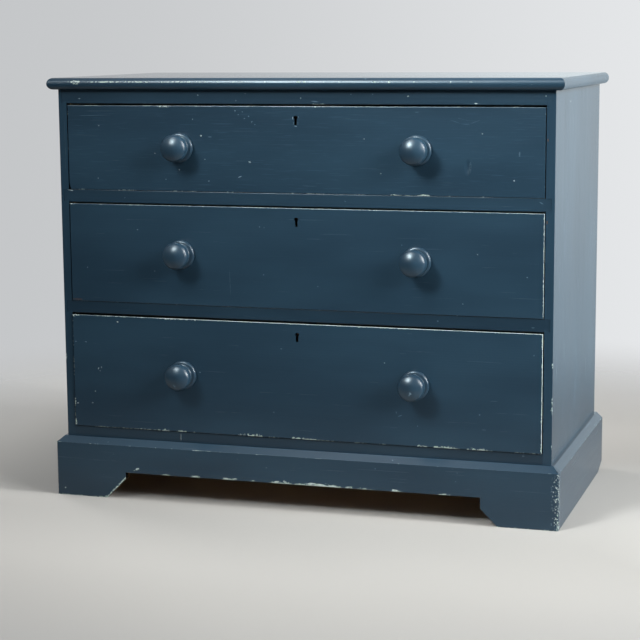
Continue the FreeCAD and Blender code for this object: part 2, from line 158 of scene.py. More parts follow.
def makePineGrain():
    tree, start, end = group(
        "pineGrain", "ShaderNodeTree",
        [("Place", "NodeSocketVector")],
        [("Colour", "NodeSocketColor"), ("Ring", "NodeSocketFloat"), ("Fibre", "NodeSocketFloat")])
    place = start.outputs["Place"]
    drift = add(tree, "ShaderNodeTexNoise",
                {"Vector": stretched(tree, place, pine["drift"]), "Scale": 1.0, "Detail": 2.0})
    drift = add(tree, "ShaderNodeVectorMath", {0: drift.outputs["Color"], 1: (0.5, 0.5, 0.5)},
                operation="SUBTRACT").outputs[0]
    drift = stretched(tree, drift, (0.0, pine["waver"], pine["waver"]))
    section = stretched(tree, place, (0.0, 1.0, 1.0))
    section = add(tree, "ShaderNodeVectorMath", {0: section, 1: drift}, operation="ADD").outputs[0]
    section = add(tree, "ShaderNodeVectorMath", {0: section, 1: pine["pith"]}, operation="ADD").outputs[0]
    radius = add(tree, "ShaderNodeVectorMath", {0: section}, operation="LENGTH").outputs["Value"]
    ring = calc(tree, "FRACT", calc(tree, "DIVIDE", radius, pine["ringWidth"]))
    late = calc(tree, "POWER", ring, 3.0)
    fibre = speckle(tree, stretched(tree, place, pine["fibre"]), 1.0, 3.0)
    stain = speckle(tree, stretched(tree, place, pine["stainCloud"]), 1.0, 4.0, 0.6)
    stain = remap(tree, stain, 0.42, 0.75)
    colour = blend(tree, late, pine["early"], pine["late"])
    colour = blend(tree, calc(tree, "MULTIPLY", fibre, 0.35), colour, pine["stain"])
    colour = blend(tree, calc(tree, "MULTIPLY", stain, 0.45), colour, pine["stain"])
    feed(tree, end.inputs["Colour"], colour)
    feed(tree, end.inputs["Ring"], late)
    feed(tree, end.inputs["Fibre"], fibre)
    return tree


pineGrain = makePineGrain()


def makeBarePine(name, shadeBy, roughness):
    material, tree, surface = newMaterial(name)
    place = attribute(tree, "grainPlace", "Vector")
    grain = add(tree, "ShaderNodeGroup", {"Place": place}, node_tree=pineGrain)
    feed(tree, surface.inputs["Base Color"], blend(tree, shadeBy, grain.outputs["Colour"], pine["stain"]))
    swing = pine["roughnessSwing"]
    feed(tree, surface.inputs["Roughness"],
         between(tree, grain.outputs["Fibre"], roughness - swing, roughness + swing))
    height = calc(tree, "MULTIPLY", grain.outputs["Fibre"], pine["height"]["fibre"])
    ring = calc(tree, "MULTIPLY", grain.outputs["Ring"], pine["height"]["ring"])
    height = calc(tree, "ADD", height, ring)
    bump = add(tree, "ShaderNodeBump", {"Height": height, "Strength": 0.6, "Distance": 1.0})
    feed(tree, surface.inputs["Normal"], bump.outputs["Normal"])
    return material


# blue paint brushed on pine, worn through to a pale undercoat along the edges, with painted shade in the
# gaps and painted sheen and highlights

paint = {
    "blue": tone(31, 53, 69),
    "blueLight": tone(39, 64, 81),
    # a lighter blue for the painted sheen on raised grain
    "sheenStreak": tone(66, 96, 118),
    "undercoat": tone(213, 226, 225),
    "undercoatGreen": tone(165, 187, 175),
    "rubbedAndHighlight": tone(146, 184, 208),
    "speck": tone(140, 162, 172),
    # a near-black used for painted shade in the gaps and on the rails, and for grime
    "grime": tone(11, 15, 18),
    "oldWood": tone(92, 70, 52),
    "wearWidth": 0.0024,
    "paintStops": 0.015,
    "spots": {"patch": 42.0, "ragged": 260.0, "fine": 380.0, "shake": 420.0, "flake": 52.0},
    "brush": (7.0, 330.0, 330.0),
    "cloud": (2.2, 9.0, 9.0),
    "grainStreak": (24.0, 520.0, 520.0),
    "height": {"brush": 0.00007, "sheenStreak": 0.00008, "ring": 0.00006, "worn": 0.00018, "flake": 0.00012},
    "gloss": {"boards": 0.25, "wiped": 0.10, "knobs": 0.30},
    "index": {"boards": 1.42, "knobs": 1.45},
}


def makePaintedPine(name, part, brushMarks=1.0):
    material, tree, surface = newMaterial(name)
    here = add(tree, "ShaderNodeTexCoord").outputs["Object"]
    place = attribute(tree, "grainPlace", "Vector")
    gap = attribute(tree, "edgeGap")
    wear = attribute(tree, "wear")
    fleckAmount = attribute(tree, "flecks")
    line = attribute(tree, "line")
    chip = attribute(tree, "chip")
    relief = attribute(tree, "relief")
    depth = attribute(tree, "paintDepth")
    dirt = attribute(tree, "dirt")
    grain = add(tree, "ShaderNodeGroup", {"Place": place}, node_tree=pineGrain)

    # wear runs in dashes along an edge, and closes up where the edge is worn most
    spots = paint["spots"]
    patch = speckle(tree, here, spots["patch"], 2.0)
    ragged = speckle(tree, here, spots["ragged"], 4.0, 0.65)
    opening = calc(tree, "MULTIPLY_ADD", wear, -0.34, 0.62)
    dashed = remap(tree, patch, opening, calc(tree, "ADD", opening, 0.07))
    bite = calc(tree, "MULTIPLY", remap(tree, ragged, 0.38, 0.66, 0.0, 1.5), paint["wearWidth"])
    reach = calc(tree, "MULTIPLY", calc(tree, "MULTIPLY", wear, dashed), bite)
    # a thin pale line along an edge is paint worn thin, and along the drawers' top arrises partly a painted
    # highlight
    thin = calc(tree, "MULTIPLY", line, calc(tree, "MULTIPLY_ADD", ragged, 2.4, -0.35))
    reach = calc(tree, "MAXIMUM", reach, thin)
    worn = remap(tree, calc(tree, "SUBTRACT", reach, gap), 0.0, 0.0004)

    # on a knocked corner flecks come off farther in, fewer with each millimetre
    fine = speckle(tree, here, spots["fine"], 3.0, 0.6)
    hold = calc(tree, "MULTIPLY_ADD", gap, 6.5, 0.548)
    flecks = remap(tree, calc(tree, "SUBTRACT", fine, hold), 0.0, 0.03)
    flecks = calc(tree, "MULTIPLY", flecks, fleckAmount)
    flecks = calc(tree, "MULTIPLY", flecks, remap(tree, gap, 0.0118, 0.0105))
    worn = calc(tree, "MAXIMUM", calc(tree, "MAXIMUM", worn, flecks), chip)

    # small flakes knocked off the open faces
    shaken = add(tree, "ShaderNodeTexNoise", {"Vector": here, "Scale": spots["shake"], "Detail": 2.0})
    shaken = stretched(tree, shaken.outputs["Color"], (0.0016, 0.0016, 0.0016))
    shaken = add(tree, "ShaderNodeVectorMath", {0: here, 1: shaken}, operation="ADD").outputs[0]
    flakes = add(tree, "ShaderNodeTexVoronoi", {"Vector": shaken, "Scale": spots["flake"]})
    chance = add(tree, "ShaderNodeSeparateColor", {0: flakes.outputs["Color"]})
    size = calc(tree, "MULTIPLY_ADD", chance.outputs[0], 0.05, 0.02)
    flake = remap(tree, flakes.outputs["Distance"], size, calc(tree, "MULTIPLY", size, 0.5))
    flake = calc(tree, "MULTIPLY", flake, remap(tree, chance.outputs[1], 0.6, 1.0))

    # brush marks and raised grain lie along the board; the lighter streaks on the grain are a painted sheen
    # of that raised grain
    brush = speckle(tree, stretched(tree, place, paint["brush"]), 1.0, 3.0, 0.6)
    cloud = speckle(tree, stretched(tree, place, paint["cloud"]), 1.0, 3.0)
    sheenStreak = speckle(tree, stretched(tree, place, paint["grainStreak"]), 1.0, 2.0)
    sheenStreak = remap(tree, sheenStreak, 0.56, 0.78)
    sheenStreak = calc(tree, "MULTIPLY", sheenStreak, relief)
    body = blend(tree, remap(tree, cloud, 0.3, 0.7), paint["blue"], paint["blueLight"])
    body = blend(tree, calc(tree, "MULTIPLY", brush, 0.16), body, paint["blueLight"])
    body = blend(tree, calc(tree, "MULTIPLY", sheenStreak, 0.22), body, paint["sheenStreak"])
    body = blend(tree, flake, body, paint["speck"])
    # darkened by a set amount per piece: painted shade on the rails and the bottom board, under the nosing
    # and the drawers that stand proud, and dirt on the knobs
    body = blend(tree, dirt, body, paint["grime"])
    under = blend(tree, remap(tree, ragged, 0.45, 0.6), paint["undercoat"], paint["undercoatGreen"])
    # lightly worn paint turns a pale blue, which also paints the highlight on the dent in the top drawer
    under = blend(tree, remap(tree, worn, 0.2, 0.6), paint["rubbedAndHighlight"], under)
    body = blend(tree, worn, body, under)
    # paint a little way behind its face, in the gaps round the drawers and inside the joints, turns near
    # black: painted shade in the gaps, with some grime
    body = blend(tree, remap(tree, depth, 0.0002, 0.0011, 0.0, 0.97), body, paint["grime"])
    body = blend(tree, calc(tree, "MULTIPLY", chip, -1.0), body, paint["oldWood"])
    edge = calc(tree, "MULTIPLY_ADD", ragged, 0.006, depth)
    bare = remap(tree, edge, paint["paintStops"] + 0.002, paint["paintStops"] + 0.004)
    feed(tree, surface.inputs["Base Color"], blend(tree, bare, body, grain.outputs["Colour"]))

    # faces that look up are wiped smooth
    upward = add(tree, "ShaderNodeNewGeometry").outputs["Normal"]
    upward = remap(tree, add(tree, "ShaderNodeSeparateXYZ", {0: upward}).outputs["Z"], 0.9, 0.99)
    gloss = between(tree, upward, paint["gloss"][part], paint["gloss"]["wiped"])
    gloss = calc(tree, "ADD", gloss, calc(tree, "MULTIPLY_ADD", brush, 0.12, -0.06))
    gloss = between(tree, calc(tree, "MAXIMUM", worn, flake), gloss, 0.7)
    feed(tree, surface.inputs["Roughness"], between(tree, bare, gloss, 0.72))

    rise = paint["height"]
    height = calc(tree, "MULTIPLY", brush, rise["brush"] * brushMarks)
    for operation, layer, amount in (("ADD", sheenStreak, rise["sheenStreak"] * brushMarks),
                                     ("ADD", grain.outputs["Ring"], rise["ring"] * brushMarks),
                                     ("SUBTRACT", worn, rise["worn"]), ("SUBTRACT", flake, rise["flake"])):
        height = calc(tree, operation, height, calc(tree, "MULTIPLY", layer, amount))
    bump = add(tree, "ShaderNodeBump", {"Height": height, "Strength": 0.7, "Distance": 1.0})
    feed(tree, surface.inputs["Normal"], bump.outputs["Normal"])
    surface.inputs["IOR"].default_value = paint["index"][part]
    return material


metal = {
    "iron": {"colour": tone(58, 54, 50), "rust": tone(96, 60, 38), "roughness": 0.52},
    "steel": {"colour": tone(128, 124, 116), "rust": tone(104, 84, 62), "roughness": 0.38},
    "stain": 130.0, "pit": 900.0, "pitDepth": 0.00008,
}


def makeMetal(name, look):
    material, tree, surface = newMaterial(name)
    here = add(tree, "ShaderNodeTexCoord").outputs["Object"]
    stain = remap(tree, speckle(tree, here, metal["stain"], 5.0, 0.7), 0.42, 0.68)
    pits = calc(tree, "MULTIPLY", speckle(tree, here, metal["pit"], 3.0), metal["pitDepth"])
    feed(tree, surface.inputs["Base Color"], blend(tree, stain, look["colour"], look["rust"]))
    feed(tree, surface.inputs["Roughness"],
         between(tree, stain, look["roughness"] - 0.08, look["roughness"] + 0.2))
    feed(tree, surface.inputs["Metallic"], between(tree, stain, 1.0, 0.45))
    bump = add(tree, "ShaderNodeBump", {"Height": pits, "Strength": 0.6, "Distance": 1.0})
    feed(tree, surface.inputs["Normal"], bump.outputs["Normal"])
    return material


paintedPine = makePaintedPine("paintedPine", "boards")
paintedKnob = makePaintedPine("paintedKnob", "knobs", brushMarks=0.2)
barePine = makeBarePine("barePine", shadeBy=0.12, roughness=0.68)
agedPine = makeBarePine("agedPine", shadeBy=0.42, roughness=0.76)
lockIron = makeMetal("lockIron", metal["iron"])
boltSteel = makeMetal("boltSteel", metal["steel"])
print("materials made")


# boards: a merged copy of the node, its outer edges eased, then cut so that the finish can follow

axisIndex = {"x": 0, "y": 1, "z": 2}
hair = 1e-7
near = 2e-6
close = near * 5
flatWithin = math.radians(0.8)
sharpOver = 0.4  # radians between two faces
easeSteps = 4
farFromEdge = 0.012  # beyond this an edge has no say
farUnderPaint = 0.05
dashEnd = 3  # mm in which a worn stretch runs out
grainShift = (3, 0.02, 0.012)  # how far a board's grain may lie from its neighbour's
# the same amount sets how strongly the painted sheen along the grain shows
plainRelief = 0.12  # how far the grain stands up under the paint
easedMiddle = 0.293  # how far in the middle of an eased edge lies, as a share of its radius
closeCuts = (0.003, 0.006)  # cuts beside an edge, where wear changes fast


def mergedCopy(node):
    bm = bmesh.new()
    bm.from_mesh(frame["nodes"][node].data)
    bmesh.ops.remove_doubles(bm, verts=bm.verts[:], dist=near)
    bmesh.ops.dissolve_limit(bm, angle_limit=flatWithin, verts=bm.verts[:], edges=bm.edges[:])
    return bm


def onBoxEdge(edge, low, high):  # true for an edge that is an edge of the board's own box
    shared = 0
    for axis in range(3):
        for side in (low[axis], high[axis]):
            if all(abs(vert.co[axis] - side) < close for vert in edge.verts):
                shared += 1
                break
    return shared >= 2


def ease(bm, edges, width, steps=easeSteps):
    if not edges:
        return
    made = bmesh.ops.bevel(bm, geom=edges, offset=width, offset_type="OFFSET", segments=steps,
                           profile=0.5, affect="EDGES", clamp_overlap=True)
    for face in made["faces"]:
        face.smooth = True


def sharpEdges(bm, test):
    return [edge for edge in bm.edges
            if edge.is_manifold and edge.is_convex and edge.calc_face_angle(0) > sharpOver and test(edge)]


def cutAcross(bm, axis, places):
    normal = Vector((0, 0, 0))
    normal[axis] = 1
    for place in places:
        geometry = bm.verts[:] + bm.edges[:] + bm.faces[:]
        bmesh.ops.bisect_plane(bm, geom=geometry, dist=hair, plane_co=normal * place, plane_no=normal)


def store(mesh, name, kind, values):
    layer = mesh.attributes.new(name, kind, "POINT")
    key = "vector" if kind == "FLOAT_VECTOR" else "value"
    layer.data.foreach_set(key, np.ascontiguousarray(values, dtype=np.float32).ravel())


def points(mesh):
    flat = np.zeros(len(mesh.vertices) * 3, np.float32)
    mesh.vertices.foreach_get("co", flat)
    return flat.reshape(-1, 3).astype(float)


def lineGap(place, start, end):  # how far each point is from a line
    start, end = np.array(start), np.array(end)
    run = end - start
    along = np.clip((place - start) @ run / (run @ run), 0, 1)
    return np.linalg.norm(place - start - along[:, None] * run, axis=1)


def dashes(base, *worn):  # wear along an edge: a base amount, and stretches (from, to, amount) in mm
    steps = []
    for start, end, amount in worn:
        steps += [(start - dashEnd, base), (start, amount), (end, amount), (end + dashEnd, base)]
    return [(step / 1000, amount) for step, amount in steps] or [(0, base)]


def dress(mesh, name, grain, paintFaces=(), wearLines=(), relief=plainRelief, dirt=0.0,
          skin=lambda place: 0.0):
    place = points(mesh)
    low, high = place.min(0), place.max(0)
    first, second = axisIndex[grain[0]], axisIndex[grain[1]]
    third = 3 - first - second
    draw = random.Random(name)
    shift = np.array([draw.uniform(-most, most) for most in grainShift])
    local = place - (low + high) / 2
    store(mesh, "grainPlace", "FLOAT_VECTOR", local[:, [first, second, third]] + shift)
    faces = {"front": place[:, 1] - low[1], "top": high[2] - place[:, 2],
             "left": place[:, 0] - low[0], "right": high[0] - place[:, 0]}
    depth = np.full(len(place), farUnderPaint)
    for face in paintFaces:
        depth = np.minimum(depth, faces[face] - skin(place))
    store(mesh, "paintDepth", "FLOAT", np.maximum(depth, 0))
    gap = np.full(len(place), farFromEdge)
    wear = np.zeros(len(place))
    thin = np.zeros(len(place))
    flecks = np.zeros(len(place))
    for start, end, axis, profile, line, *more in wearLines:
        distance = lineGap(place, start, end)
        closer = distance < gap
        gap = np.where(closer, distance, gap)
        along = place[:, axisIndex[axis]]
        for values, steps in ((wear, profile), (thin, line)):
            stops, heights = zip(*steps)
            values[closer] = np.interp(along[closer], stops, heights)
        flecks[closer] = more[0] if more else 0
    amounts = {"edgeGap": gap, "wear": wear, "line": thin / 1000, "flecks": flecks,
               "relief": np.full(len(place), relief), "dirt": np.full(len(place), dirt)}
    for label, values in amounts.items():
        store(mesh, label, "FLOAT", values)


# a chip is a ragged patch of the board's own face: undercoat, or old wood where its strength is negative

chipLook = {"points": 14, "ragged": (0.62, 1.08), "fade": 1.6}
validCells = 4  # has the cutter return cells that are good faces


def reachOf(spots):
    return [(min(spot[n] for spot in spots), max(spot[n] for spot in spots)) for n in (0, 1)]


def meets(one, other):
    return all(one[n][0] < other[n][1] and other[n][0] < one[n][1] for n in (0, 1))


def splitBorder(edges, spots, fresh, flatten):  # the faces beyond the rim share its new corners
    made = {}
    rest = np.array([spots[n] for n in fresh]).reshape(-1, 2)
    for edge in edges:
        start, end = edge.verts
        origin, run = np.array(flatten(start)), np.array(flatten(end) - flatten(start))
        along = (rest - origin) @ run / (run @ run)
        aside = np.abs((rest - origin) @ np.array((-run[1], run[0]))) / np.linalg.norm(run)
        done = 0.0
        onEdge = np.flatnonzero((aside < near / 4) & (along > 0) & (along < 1))
        for index in sorted(onEdge, key=lambda n: along[n]):
            vert = bmesh.utils.edge_split(edge, start, (along[index] - done) / (1 - done))[1]
            edge = next(part for part in vert.link_edges if end in part.verts)
            start, done = vert, along[index]
            made[fresh[index]] = vert
    return made


def letIn(bm, shapes, axes, face):  # cuts flat shapes into a flat face of the board
    layer = bm.faces.layers.float.get("chip") or bm.faces.layers.float.new("chip")
    flat = 3 - sum(axes)

    def flatten(vert):
        return Vector((vert.co[axes[0]], vert.co[axes[1]]))

    # the faces that a shape lies on
    reaches = [reachOf(ring) for ring, strength in shapes]
    touched = []
    for part in bm.faces:
        if all(abs(vert.co[flat] - face) < near for vert in part.verts):
            own = reachOf([flatten(vert) for vert in part.verts])
            if any(meets(own, reach) for reach in reaches):
                touched.append(part)
    # those faces and the shapes, cut into cells
    verts = list(dict.fromkeys(vert for part in touched for vert in part.verts))
    number = {vert: n for n, vert in enumerate(verts)}
    spots = [flatten(vert) for vert in verts]
    loops = [[number[vert] for vert in part.verts] for part in touched]
    for ring, strength in shapes:
        loops.append(list(range(len(spots), len(spots) + len(ring))))
        spots += ring
    spots, _, cells, oldVerts, _, oldLoops = delaunay_2d_cdt(spots, [], loops, validCells, hair, True)
    cells = [(cell, came) for cell, came in zip(cells, oldLoops) if any(n < len(touched) for n in came)]
    # each corner is one that was there, one on the rim, or a new one
    made = {n: verts[min(came)] for n, came in enumerate(oldVerts) if came and min(came) < len(verts)}
    fresh = [n for n in dict.fromkeys(n for cell, came in cells for n in cell) if n not in made]
    inside = set(touched)
    border = [edge for edge in dict.fromkeys(edge for part in touched for edge in part.edges)
              if any(part not in inside for part in edge.link_faces)]
    made.update(splitBorder(border, spots, fresh, flatten))
    for n in fresh:
        if n not in made:
            corner = [face, face, face]
            corner[axes[0]], corner[axes[1]] = spots[n]
            made[n] = bm.verts.new(corner)
    bmesh.ops.delete(bm, geom=touched, context="FACES_ONLY")
    for cell, came in cells:
        strengths = [shapes[n - len(touched)][1] for n in came if n >= len(touched)]
        bm.faces.new([made[n] for n in cell])[layer] = max(strengths, key=abs, default=0.0)
    bmesh.ops.delete(bm, geom=[edge for edge in bm.edges if edge.is_wire], context="EDGES")
    bm.normal_update()


# a mark has its place along, place up, width and height in mm, a strength and a tilt in degrees
def addChips(bm, name, marks, face, axes=(0, 2)):
    draw = random.Random(name)
    shapes = []
    for along, up, width, height, strength, *tilt in marks:
        turn = math.radians(tilt[0]) if tilt else 0.0
        ring = []
        for n in range(chipLook["points"]):
            angle = 2 * math.pi * n / chipLook["points"]
            reach = draw.uniform(*chipLook["ragged"])
            across, rise = width / 2 * math.cos(angle) * reach, height / 2 * math.sin(angle) * reach
            ring.append(Vector((along + across * math.cos(turn) - rise * math.sin(turn),
                                up + across * math.sin(turn) + rise * math.cos(turn))) / 1000)
        shapes.append((ring, math.copysign(abs(strength) ** chipLook["fade"], strength)))
    if shapes:
        letIn(bm, shapes, axes, face)


def dentDepth(x, z, dent):  # how deep a shallow dent in a front face is at a place
    across = (x - dent["spot"][0]) / dent["size"][0] * 2
    up = (z - dent["spot"][1]) / dent["size"][1] * 2
    return dent["depth"] * np.maximum(1 - (across ** 2 + up ** 2), 0) ** 2


def hollow(bm, dent, face):
    for axis, middle, size in zip((0, 2), dent["spot"], dent["size"]):
        cutAcross(bm, axis, [middle + size * step / 10 for step in range(-5, 6)])
    for vert in bm.verts:
        depth = float(dentDepth(vert.co.x, vert.co.z, dent)) if abs(vert.co.y - face) < near else 0
        if depth > 0:
            vert.co.y += depth
            for touching in vert.link_faces:
                touching.smooth = True


def setIn(mesh, name, body, nodes, material):
    piece = bpy.data.objects.new(name, mesh)
    scene.collection.objects.link(piece)
    mesh.materials.clear()
    mesh.materials.append(material)
    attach(piece, body)
    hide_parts(*nodes)


def toMesh(bm, name):
    mesh = bpy.data.meshes.new(name)
    bm.to_mesh(mesh)
    bm.free()
    return mesh


def span(low, high, step):  # even cuts, kept off the ends
    count = max(1, round((high - low) / step))
    return [low + (high - low) * n / count for n in range(1, count)]


bodyOf = {node: body for body, nodes in frame["record"]["behaviour"]["bodies"].items() for node in nodes}


def camel(node):
    first, *rest = node.split("_")
    return first + "".join(word.capitalize() for word in rest)


# bare boards of the case and the drawers

bareBoards = {
    "grainX": ["rear_top_rail", "rear_base_rail", "top_drawer_stops", "middle_drawer_stops",
               "bottom_drawer_stops", "plinth_glue_blocks", "top_drawer_back", "middle_drawer_back",
               "bottom_drawer_back", "top_drawer_bottom", "middle_drawer_bottom", "bottom_drawer_bottom"],
    "grainY": ["left_upper_runner", "right_upper_runner", "left_lower_runner", "right_lower_runner",
               "left_kicker", "right_kicker", "top_drawer_left_side", "top_drawer_right_side",
               "middle_drawer_left_side", "middle_drawer_right_side", "bottom_drawer_left_side",
               "bottom_drawer_right_side"],
    "grainZ": ["back_board_1", "back_board_2", "back_board_3", "back_board_4", "plinth_corner_blocks"],
    "aged": ["back_board", "plinth_", "rear_base_rail"],
    "ease": 0.0006, "steps": 2,
}


def makeBareBoards():
    made = 0
    for key, grain in (("grainX", "xz"), ("grainY", "yz"), ("grainZ", "zx")):
        for node in bareBoards[key]:
            low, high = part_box(node)
            bm = mergedCopy(node)
            edges = sharpEdges(bm, lambda edge: onBoxEdge(edge, low, high))
            ease(bm, edges, bareBoards["ease"], bareBoards["steps"])
            mesh = toMesh(bm, camel(node))
            flat = min(range(3), key=lambda axis: high[axis] - low[axis])
            across = [letter for letter in "xyz" if letter != grain[0] and axisIndex[letter] != flat]
            dress(mesh, node, grain[0] + across[0])
            old = any(node.startswith(word) for word in bareBoards["aged"])
            setIn(mesh, camel(node), bodyOf[node], [node], agedPine if old else barePine)
            made += 1
    print("bare boards:", made)


makeBareBoards()


# painted boards of the case

caseCuts = {"deep": (*closeCuts, 0.009, 0.016), "along": 0.008, "across": 1.0}
caseBoards = {
    "left_case_side": {
        "grain": "zy", "paint": ("left", "front"), "ease": 0.0012,
        "edges": {"frontLeft": (dashes(0.15, (258, 270, 0.8), (636, 644, 0.8)), 0.1)},
        "marks": [],
    },
    "right_case_side": {
        "grain": "zy", "paint": ("right", "front"), "ease": 0.0012,
        "edges": {"frontRight": (dashes(0.14, (145, 150, 0.6), (208, 214, 1.0), (230, 237, 0.8),
                                        (294, 300, 0.9), (520, 527, 0.6), (640, 645, 0.5)), 0.08)},
        "marks": [(456.5, 690, 2.6, 6, -1.0), (456.5, 548, 2.6, 7, -1.0)],
        "sideMarks": [(-73, 752, 3.6, 2.6, 0.95), (40, 640, 2.2, 1.6, 0.4), (-150, 430, 2.0, 1.6, 0.4),
                      (110, 300, 2.4, 1.8, 0.35)],
    },
    # the rails and the bottom board are darkened as painted shade cast by the nosing and the proud drawers
    "top_rail": {
        "grain": "xz", "paint": ("front",), "ease": 0.0008, "easeBelow": 0.0016, "dirt": 0.09,
        "edges": {"frontBottom": (dashes(0.15, (20, 50, 0.5)), 0.08)},
        "marks": [(-427, 759, 5, 1.6, 0.6, 8), (-190, 766, 3.2, 2.2, 0.6, -20), (-116, 756, 1.8, 1.8, 0.6),
                  (-98, 769, 1.8, 1.6, 0.6), (8, 761, 2.2, 2.6, 0.7), (35, 755, 15, 2.4, 0.36, -6),
                  (102, 768, 2.0, 1.8, 0.5), (142, 768, 2.2, 1.8, 0.5), (207, 765, 4, 2.0, 0.7, 15),
                  (329, 752.5, 6, 2.6, 0.9, -8), (452, 766, 3, 2.2, 0.8)],
    },
    "upper_drawer_rail": {
        "grain": "xz", "paint": ("front",), "ease": 0.0007, "easeBelow": 0.0018, "dirt": 0.08,
        "edges": {"frontBottom": (dashes(0.1), 0.05)},
        "marks": [(-451, 587.4, 14, 1.6, 0.7, -7), (446, 581, 10, 1.4, 0.4, -28), (-340, 575, 2, 1.6, 0.4),
                  (90, 577, 2, 1.6, 0.4)],
    },
    "lower_drawer_rail": {
        "grain": "xz", "paint": ("front",), "ease": 0.0007, "easeBelow": 0.0018, "dirt": 0.16,
        "edges": {"frontBottom": (dashes(0.1), 0.05)},
        "marks": [(262, 366, 4, 2.6, 0.3), (434, 361, 6, 2.0, 0.25)],
    },
    "bottom_board": {
        "grain": "xy", "paint": ("front",), "ease": 0.0008, "dirt": 0.2,
        "edges": {"frontTop": (dashes(0.1), 0.05)},
        "marks": [(-236, 124, 1.5, 13, 0.62), (-237.4, 124, 0.8, 12, -0.8), (419, 129, 5, 3, 0.2)],
    },
}


def boxEdge(low, high, name, inset):  # an edge of a board's box, drawn in to the middle of its easing
    left, right = low.x + inset, high.x - inset
    bottom, top = low.z + inset, high.z - inset
    front = low.y + inset
    ends = {
        "frontTop": ((low.x, front, top), (high.x, front, top), "x"),
        "frontBottom": ((low.x, front, bottom), (high.x, front, bottom), "x"),
        "frontLeft": ((left, front, low.z), (left, front, high.z), "z"),
        "frontRight": ((right, front, low.z), (right, front, high.z), "z"),
    }
    return ends[name]


def edgeLines(low, high, edges, easing):
    lines = []
    for name, (profile, line) in edges.items():
        steps = line if isinstance(line, list) else [(0, line)]
        lines.append((*boxEdge(low, high, name, easing * easedMiddle), profile, steps))
    return lines


def frontEdges(bm, low, high):
    front = low.y + close
    return [edge for edge in sharpEdges(bm, lambda edge: onBoxEdge(edge, low, high))
            if all(vert.co.y < front for vert in edge.verts)]


def cutNearEdges(bm, low, high, axes, step):  # close cuts beside the edges, even cuts between
    for axis in axes:
        cutAcross(bm, axis, [low[axis] + cut for cut in closeCuts])
        cutAcross(bm, axis, [high[axis] - cut for cut in closeCuts])
        cutAcross(bm, axis, span(low[axis], high[axis], step[axis]))


def makeCaseBoards():
    for node, look in caseBoards.items():
        low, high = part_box(node)
        bm = mergedCopy(node)
        below = look.get("easeBelow", look["ease"])
        lower = [edge for edge in frontEdges(bm, low, high)
                 if all(vert.co.z < low.z + close for vert in edge.verts)]
        ease(bm, lower, below)
        ease(bm, frontEdges(bm, low, high), look["ease"])
        cutAcross(bm, 1, [low.y + cut for cut in caseCuts["deep"]])
        long = axisIndex[look["grain"][0]]
        cutNearEdges(bm, low, high, [2 - long], {2 - long: caseCuts["across"]})
        cutAcross(bm, long, span(low[long], high[long], caseCuts["along"]))
        addChips(bm, node, look["marks"], low.y)
        addChips(bm, node + "_side", look.get("sideMarks", ()), high.x, (1, 2))
        bmesh.ops.remove_doubles(bm, verts=bm.verts[:], dist=near)
        mesh = toMesh(bm, camel(node))
        dress(mesh, node, look["grain"], look["paint"], edgeLines(low, high, look["edges"], below),
              dirt=look.get("dirt", 0.0))
        setIn(mesh, camel(node), "carcass", [node], paintedPine)
    print("case boards:", len(caseBoards))


makeCaseBoards()


# top board: nosed all round but the back

# the worn line along the nosing lies at the height where the lamp's highlight falls; its pale dashes are
# worn paint and partly a painted highlight
topBoard = {
    "nose": 0.0105, "steps": 10, "crisp": math.radians(18),
    "wear": dashes(0.2, (-432, -418, 1.5), (-397, -199, 0.48), (-199, -60, 0.34), (-60, 20, 0.42),
                   (20, 170, 0.34), (170, 181, 0.95), (181, 281, 0.3), (281, 290, 0.6)),
    "line": 0.15, "wornHighlightDrop": 0.0072, "cuts": (0.008, 0.06),
}


def makeTopBoard():
    low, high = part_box("top_board")
    bm = bmesh.new()
    bmesh.ops.create_cube(bm, size=1.0)
    for vert in bm.verts:
        vert.co = Vector(high[axis] if vert.co[axis] > 0 else low[axis] for axis in range(3))
    edges = [edge for edge in bm.edges
             if abs(edge.verts[0].co.z - edge.verts[1].co.z) < near
             and min(vert.co.y for vert in edge.verts) < high.y - near]
    ease(bm, edges, topBoard["nose"], topBoard["steps"])
    for edge in bm.edges:
        edge.smooth = edge.calc_face_angle(0) < topBoard["crisp"]
    cutAcross(bm, 0, span(low.x, high.x, topBoard["cuts"][0]))
    cutAcross(bm, 1, span(low.y, high.y, topBoard["cuts"][1]))
    mesh = toMesh(bm, "topBoard")
    nose, drop = topBoard["nose"], topBoard["wornHighlightDrop"]
    front = low.y + nose - math.sqrt(nose ** 2 - (nose - drop) ** 2)
    line = ((low.x, front, high.z - drop), (high.x, front, high.z - drop), "x",
            topBoard["wear"], [(0, topBoard["line"])])
    dress(mesh, "top_board", "xy", ("front", "top", "left", "right"), [line], skin=lambda place: nose)
    setIn(mesh, "topBoard", "carcass", ["top_board"], paintedPine)
    print("top board")


makeTopBoard()


# plinth: the front and two sides are mitred, and knocks have rounded the corner where they meet

